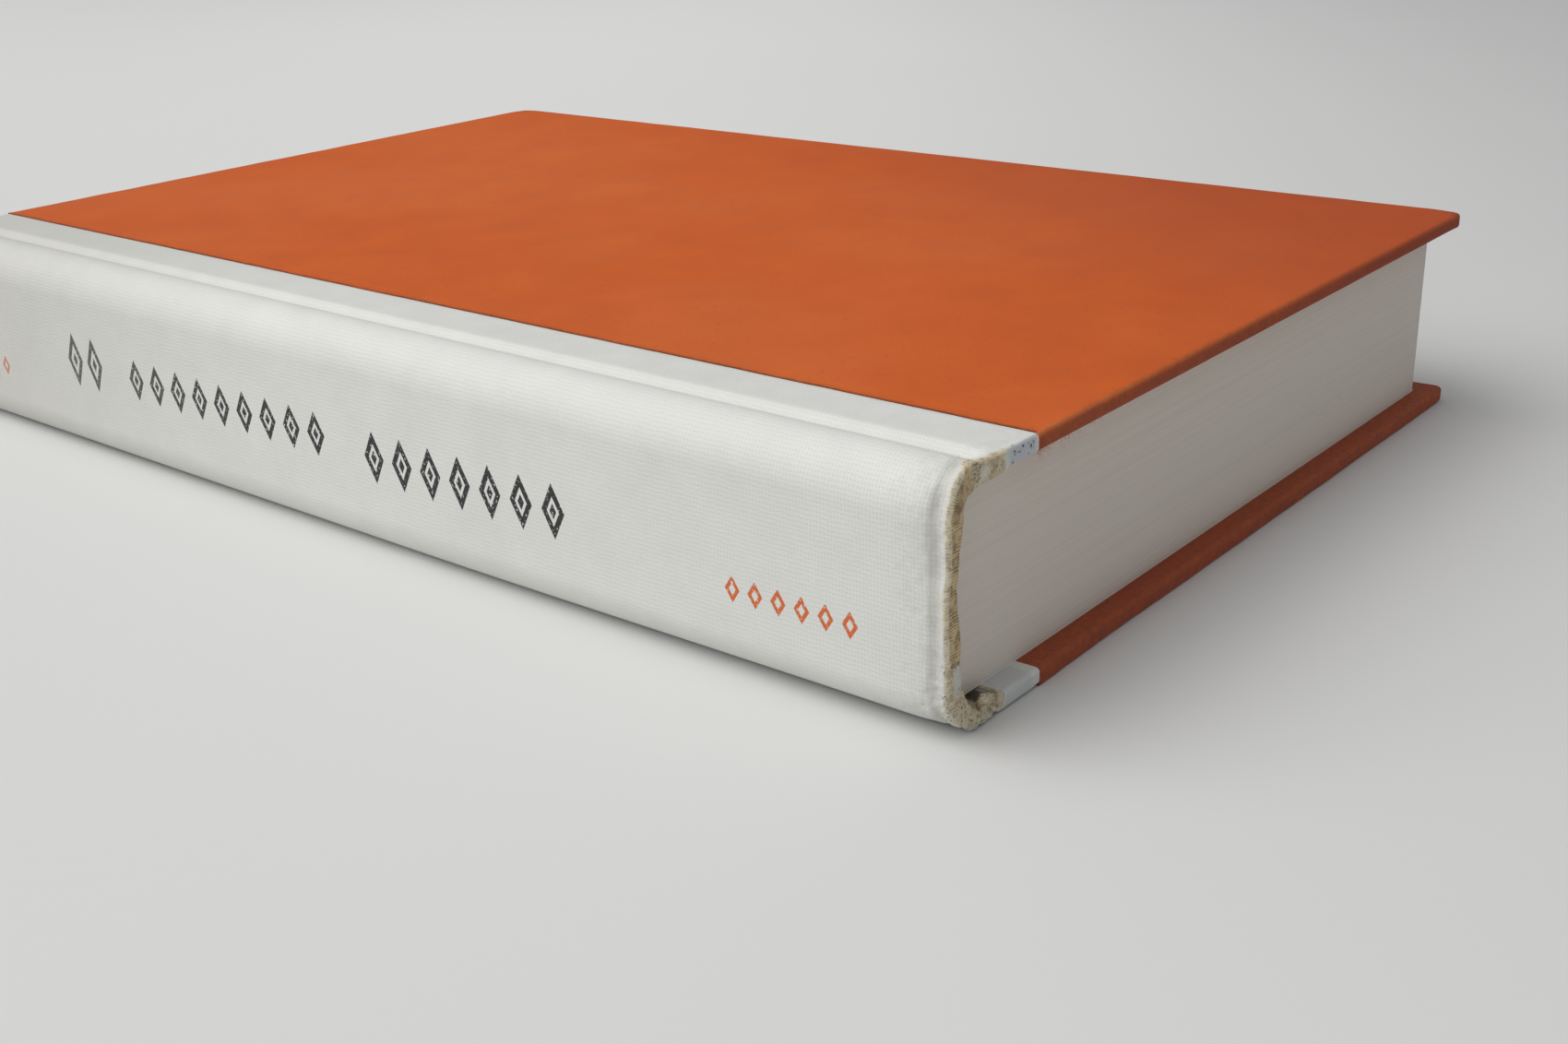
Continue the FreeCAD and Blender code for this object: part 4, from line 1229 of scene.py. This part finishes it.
@dataclass
class FrayedFibres:
    """Loose orange fibres where the paper has frayed under the front board's tail edge, thickest beside the cloth."""

    finish: bpy.types.Material
    count: int = 130
    steps: int = 7
    first_x: float = -54.5
    reach_x: float = 17.0
    edge_y: float = -107.85
    edge_z: float = 28.98
    radius: float = 0.016

    def build(self) -> bpy.types.Object:
        """Make every fibre as a bent, tapering three-sided tube, all in one mesh."""
        rng = np.random.default_rng(31)
        share = rng.uniform(0.0, 1.0, self.count) ** 2.4
        root = np.stack([
            self.first_x + self.reach_x * share,
            self.edge_y + rng.uniform(-0.1, 0.25, self.count),
            self.edge_z + rng.uniform(-0.05, 0.9, self.count) ** 2 * 1.6,
        ], axis=-1)
        long = rng.uniform(0.2, 1.0, self.count) * (1.15 - 0.7 * share)
        way = rng.normal(0.0, 1.0, (self.count, 3)) * (0.8, 0.2, 0.45) + (0.1, -0.25, -0.75)
        way /= np.linalg.norm(way, axis=1, keepdims=True)
        bend = rng.normal(0.0, 0.5, (self.count, 3)) + (0.0, 0.15, -0.35)
        t = np.linspace(0.0, 1.0, self.steps)[None, :, None]
        line = root[:, None] + long[:, None, None] * (way[:, None] * t + bend[:, None] * t * t * 0.55)
        turn = np.radians([0.0, 120.0, 240.0])
        ring = np.stack([np.cos(turn), np.zeros(3), np.sin(turn)], axis=-1)
        thin = self.radius * (1.0 - 0.7 * t[..., None])
        points = line[:, :, None] + ring * thin
        sheets = [grid_mesh(f"fibre_{i}", tube, wrap=True) for i, tube in enumerate(points)]
        return self.joined(sheets)

    def joined(self, tubes: list[bpy.types.Object]) -> bpy.types.Object:
        """Return the tubes as one piece that rides on the front cover."""
        work = bmesh.new()
        for tube in tubes:
            work.from_mesh(tube.data)
            mesh = tube.data
            bpy.data.objects.remove(tube)
            bpy.data.meshes.remove(mesh)
        mesh = bpy.data.meshes.new("front_frayed_fibres")
        work.to_mesh(mesh)
        work.free()
        piece = bpy.data.objects.new("front_frayed_fibres", mesh)
        bpy.context.scene.collection.objects.link(piece)
        mesh.materials.append(self.finish)
        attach(piece, "front_cover")
        return piece


# ---------------------------------------------------------------------------------------------- the leaves


@dataclass
class LeafBlock:
    """The sewn and trimmed leaves: every row of the grid is one leaf's cut edge, a hair in or out of the next."""

    finish: bpy.types.Material
    low: tuple[float, float, float] = (-69.45, -104.75, 2.70)
    high: tuple[float, float, float] = (67.05, 104.75, 28.60)
    rows: int = 208
    section: int = 8
    corner: float = 0.25

    def build(self) -> bpy.types.Object:
        """Make the closed block: rounded rectangles, one a row, with a cap at each end drawn in to a point."""
        rng = np.random.default_rng(5)
        grain = Grain(9)
        x0, y0, z0 = self.low
        x1, y1, z1 = self.high
        r = self.corner
        sides = []
        for (ax, ay), (bx, by), count in (
            ((x0 + r, y0), (x1 - r, y0), 64), ((x1, y0 + r), (x1, y1 - r), 74),
            ((x1 - r, y1), (x0 + r, y1), 64), ((x0, y1 - r), (x0, y0 + r), 40),
        ):
            t = np.linspace(0.0, 1.0, count)
            sides.append(np.stack([ax + (bx - ax) * t, ay + (by - ay) * t], axis=-1))
        ring = np.concatenate(sides)
        middle = np.array([(x0 + x1) / 2.0, (y0 + y1) / 2.0])
        out = np.sign(ring - middle) * (np.abs(ring - middle) > (np.array([x1 - x0, y1 - y0]) / 2.0 - r - 1e-6))
        z = np.linspace(z0, z1, self.rows)
        leaf = rng.uniform(-0.008, 0.0, self.rows) - 0.012 * (np.arange(self.rows) % self.section == 0)
        gather = np.repeat(rng.uniform(-0.012, 0.0, self.rows // self.section + 1), self.section)[: self.rows]
        place = np.stack(np.broadcast_arrays(ring[None, :, 0], ring[None, :, 1], z[:, None] * 9.0), axis=-1)
        wander = 0.012 * (grain.at(place, 26.0) - 1.0)
        inward = (leaf + gather)[:, None] + wander
        flat = ring[None] + out[None] * inward[..., None]
        walls = np.concatenate([flat, np.broadcast_to(z[:, None, None], (*flat.shape[:2], 1))], axis=-1)
        shares = np.array([0.995, 0.9, 0.5, 0.0])[:, None, None]
        caps = []
        for level, edge in ((z0, walls[0]), (z1, walls[-1])):
            centre = np.array([*middle, level])
            caps.append(centre + (edge[None] - centre) * shares)
        points = np.concatenate([caps[0][::-1], walls, caps[1]])
        piece = grid_mesh("leaf_block", points, flip=True, wrap=True)
        weld(piece, 0.0005)
        piece.data.materials.append(self.finish)
        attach(piece, "book_block")
        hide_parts("text_block")
        return piece


@dataclass
class EndpaperFold:
    """The part of a folded endpaper that runs through the joint, from the pasted leaf to the free leaf's fold."""

    side: Side
    finish: bpy.types.Material
    middle: float = 15.65
    half_tall: float = 104.7
    paste_x: float = -61.6
    fold_x: float = -69.5
    thick: float = 0.13

    def build(self) -> bpy.types.Object:
        """Make the strip: flat under the joint, then a small round fold down on to the free leaf."""
        low, high = 13.12, 13.27
        flat = np.linspace(self.paste_x, self.fold_x + 0.12, 34)
        turn = np.radians(np.linspace(90.0, 180.0, 6))[1:]
        x = np.concatenate([flat, self.fold_x + 0.12 + 0.12 * np.cos(turn)])
        h = np.concatenate([np.full(len(flat), high), high - 0.12 + 0.12 * np.sin(turn)])
        h = np.concatenate([h, [low - 0.1]])
        x = np.concatenate([x, [self.fold_x]])
        y = np.linspace(-self.half_tall, self.half_tall, 60)
        points = np.stack(np.broadcast_arrays(x[None], y[:, None], self.middle + self.side.up * h[None]), axis=-1)
        piece = grid_mesh(f"{self.side.value}_endpaper_fold", points, flip=self.side is Side.BACK)
        thicken(piece, self.thick)
        piece.data.materials.append(self.finish)
        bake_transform(piece)
        return piece


@dataclass
class InnerParts:
    """The CAD nodes that keep their own shape and get a finish: endpapers, gauze, lining, card and boards."""

    nodes: dict[str, bpy.types.Object]
    finishes: dict[str, bpy.types.Material]

    def dress(self) -> int:
        """Give each node the finish named for it and return how many were dressed."""
        for name, finish in self.finishes.items():
            mesh = self.nodes[name].data
            mesh.materials.clear()
            mesh.materials.append(finish)
        return len(self.finishes)


# ---------------------------------------------------------------------------------------------- studio and camera


@dataclass(frozen=True)
class Camera:
    """The photograph's viewing place: where it stands, how it is turned, and its lens."""

    place: tuple[float, float, float] = (-0.211948, -0.203469, 0.095702)
    azimuth: float = -0.87319645
    elevation: float = 0.38514258
    roll: float = -0.03669872
    lens: float = 40.9776
    sensor: float = 36.0

    def make(self) -> bpy.types.Object:
        """Make the scene's camera from its three directions."""
        az, el = self.azimuth, self.elevation
        back = Vector((math.sin(az) * math.cos(el), -math.cos(az) * math.cos(el), math.sin(el)))
        right = (-back).cross(Vector((0.0, 0.0, 1.0))).normalized()
        up = right.cross(-back)
        c, s = math.cos(self.roll), math.sin(self.roll)
        axes = Matrix((c * right + s * up, c * up - s * right, back)).transposed().to_4x4()
        data = bpy.data.cameras.new("camera")
        data.lens, data.sensor_width = self.lens, self.sensor
        data.clip_start, data.clip_end = 0.01, 50.0
        camera = bpy.data.objects.new("camera", data)
        camera.matrix_world = Matrix.Translation(self.place) @ axes
        bpy.context.scene.collection.objects.link(camera)
        bpy.context.scene.camera = camera
        return camera


@dataclass
class Studio:
    """A pale floor with painted shade darkening it away from the middle, one broad soft lamp and a pale sky."""

    floor_color: Color = (0.80, 0.80, 0.79)
    sky: Color = (0.95, 0.97, 1.0)
    sky_strength: float = 0.35
    lamp_place: tuple[float, float, float] = (-1.08, 0.88, 1.72)
    lamp_size: float = 2.5
    lamp_power: float = 50.3
    lamp_color: Color = (1.0, 0.99, 0.97)
    across: Color = (0.643, -0.766, 0.0)
    ahead: Color = (0.766, 0.643, 0.0)

    def along(self, bench: Bench, place: Socket, way: Color) -> Socket:
        """Return how far a place lies along a direction, in metres."""
        node = bench.put("VectorMath", {"operation": "DOT_PRODUCT"})
        bench.feed(node.inputs[0], place)
        bench.feed(node.inputs[1], way)
        return node.outputs["Value"]

    def make(self) -> None:
        """Make the floor, the lamp and the sky."""
        grid = np.linspace(-4000.0, 4000.0, 9)
        points = np.stack([*np.meshgrid(grid, grid), np.zeros((9, 9))], axis=-1)
        floor = grid_mesh("studio_floor", points, flip=True)
        material, bench, shader = new_finish("Pale floor")
        place = bench.place()
        aside, deep = (self.along(bench, place, way) for way in (self.across, self.ahead))
        # painted shade: the floor darkens to either side along the across direction and towards the camera, standing in
        # for the light falling off; a little noise gives uneven tone
        right = bench.span(aside, 0.0, 0.42, 0.0, 0.25)
        left = bench.span(aside, 0.0, -0.40, 0.0, 0.11)
        near = bench.span(deep, 0.65, -0.12, 0.0, 0.11)
        painted_floor_shade = bench.sum("ADD", near, bench.sum("ADD", right, left))
        painted_floor_shade = bench.sum("MULTIPLY_ADD", bench.noise(place, 7.0, 3.0), 0.02, painted_floor_shade)
        bench.feed(shader.inputs["Base Color"], bench.blend(painted_floor_shade, self.floor_color, (0.0, 0.0, 0.004)))
        shader.inputs["Roughness"].default_value = 0.9
        shader.inputs["Specular IOR Level"].default_value = 0.1
        floor.data.materials.append(material)
        lamp = bpy.data.lights.new("soft_window", "AREA")
        lamp.shape, lamp.size, lamp.energy, lamp.color = "SQUARE", self.lamp_size, self.lamp_power, self.lamp_color
        stand = bpy.data.objects.new("soft_window", lamp)
        aim = Vector((0.0, 0.0, 0.0)) - Vector(self.lamp_place)
        stand.matrix_world = Matrix.Translation(self.lamp_place) @ aim.to_track_quat("-Z", "Y").to_matrix().to_4x4()
        bpy.context.scene.collection.objects.link(stand)
        world = bpy.data.worlds.new("pale_sky")
        world.use_nodes = True
        world.node_tree.nodes["Background"].inputs["Color"].default_value = (*self.sky, 1.0)
        world.node_tree.nodes["Background"].inputs["Strength"].default_value = self.sky_strength
        bpy.context.scene.world = world
        bpy.context.scene.view_settings.view_transform = "Standard"


def main() -> None:
    """Load the frame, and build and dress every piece."""
    logging.basicConfig(level=logging.INFO, format="%(name)s: %(message)s")
    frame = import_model()
    Camera().make()
    Studio().make()

    effects = SharedEffects()
    cloth = BookClothFinish().make(effects)
    paper = SidingPaperFinish().make(effects)
    endpaper = ENDPAPER.make(effects)
    gauze = GauzeFinish().make(effects)
    board = BOARD.make(effects)
    pieces = [LeafBlock(LeavesFinish().make(effects)).build()]
    halves = tuple(ClothHalf(side, cloth) for side in (Side.BACK, Side.FRONT))
    pieces.append(SpineInlay(CARD.make(effects), halves).build())
    for half in halves:
        pieces.append(half.build())
        pieces.append(PaperSide(half.side, paper).build())
        pieces.append(EndpaperFold(half.side, endpaper).build())
    pieces.append(FrayedFibres(paper).build())
    for piece in pieces:
        LOG.info("%s: %d faces", piece.name, len(piece.data.polygons))
    inner = {"spine_mull": gauze, "spine_lining": LINING.make(effects)}
    for side in Side:
        inner[f"{side.value}_flyleaf"] = endpaper
        inner[f"{side.value}_pastedown"] = endpaper
        inner[f"{side.value}_mull_flange"] = gauze
        inner[f"{side.value}_board"] = board
    LOG.info("dressed %d CAD nodes", InnerParts(frame["nodes"], inner).dress())


if __name__ == "__main__":
    main()
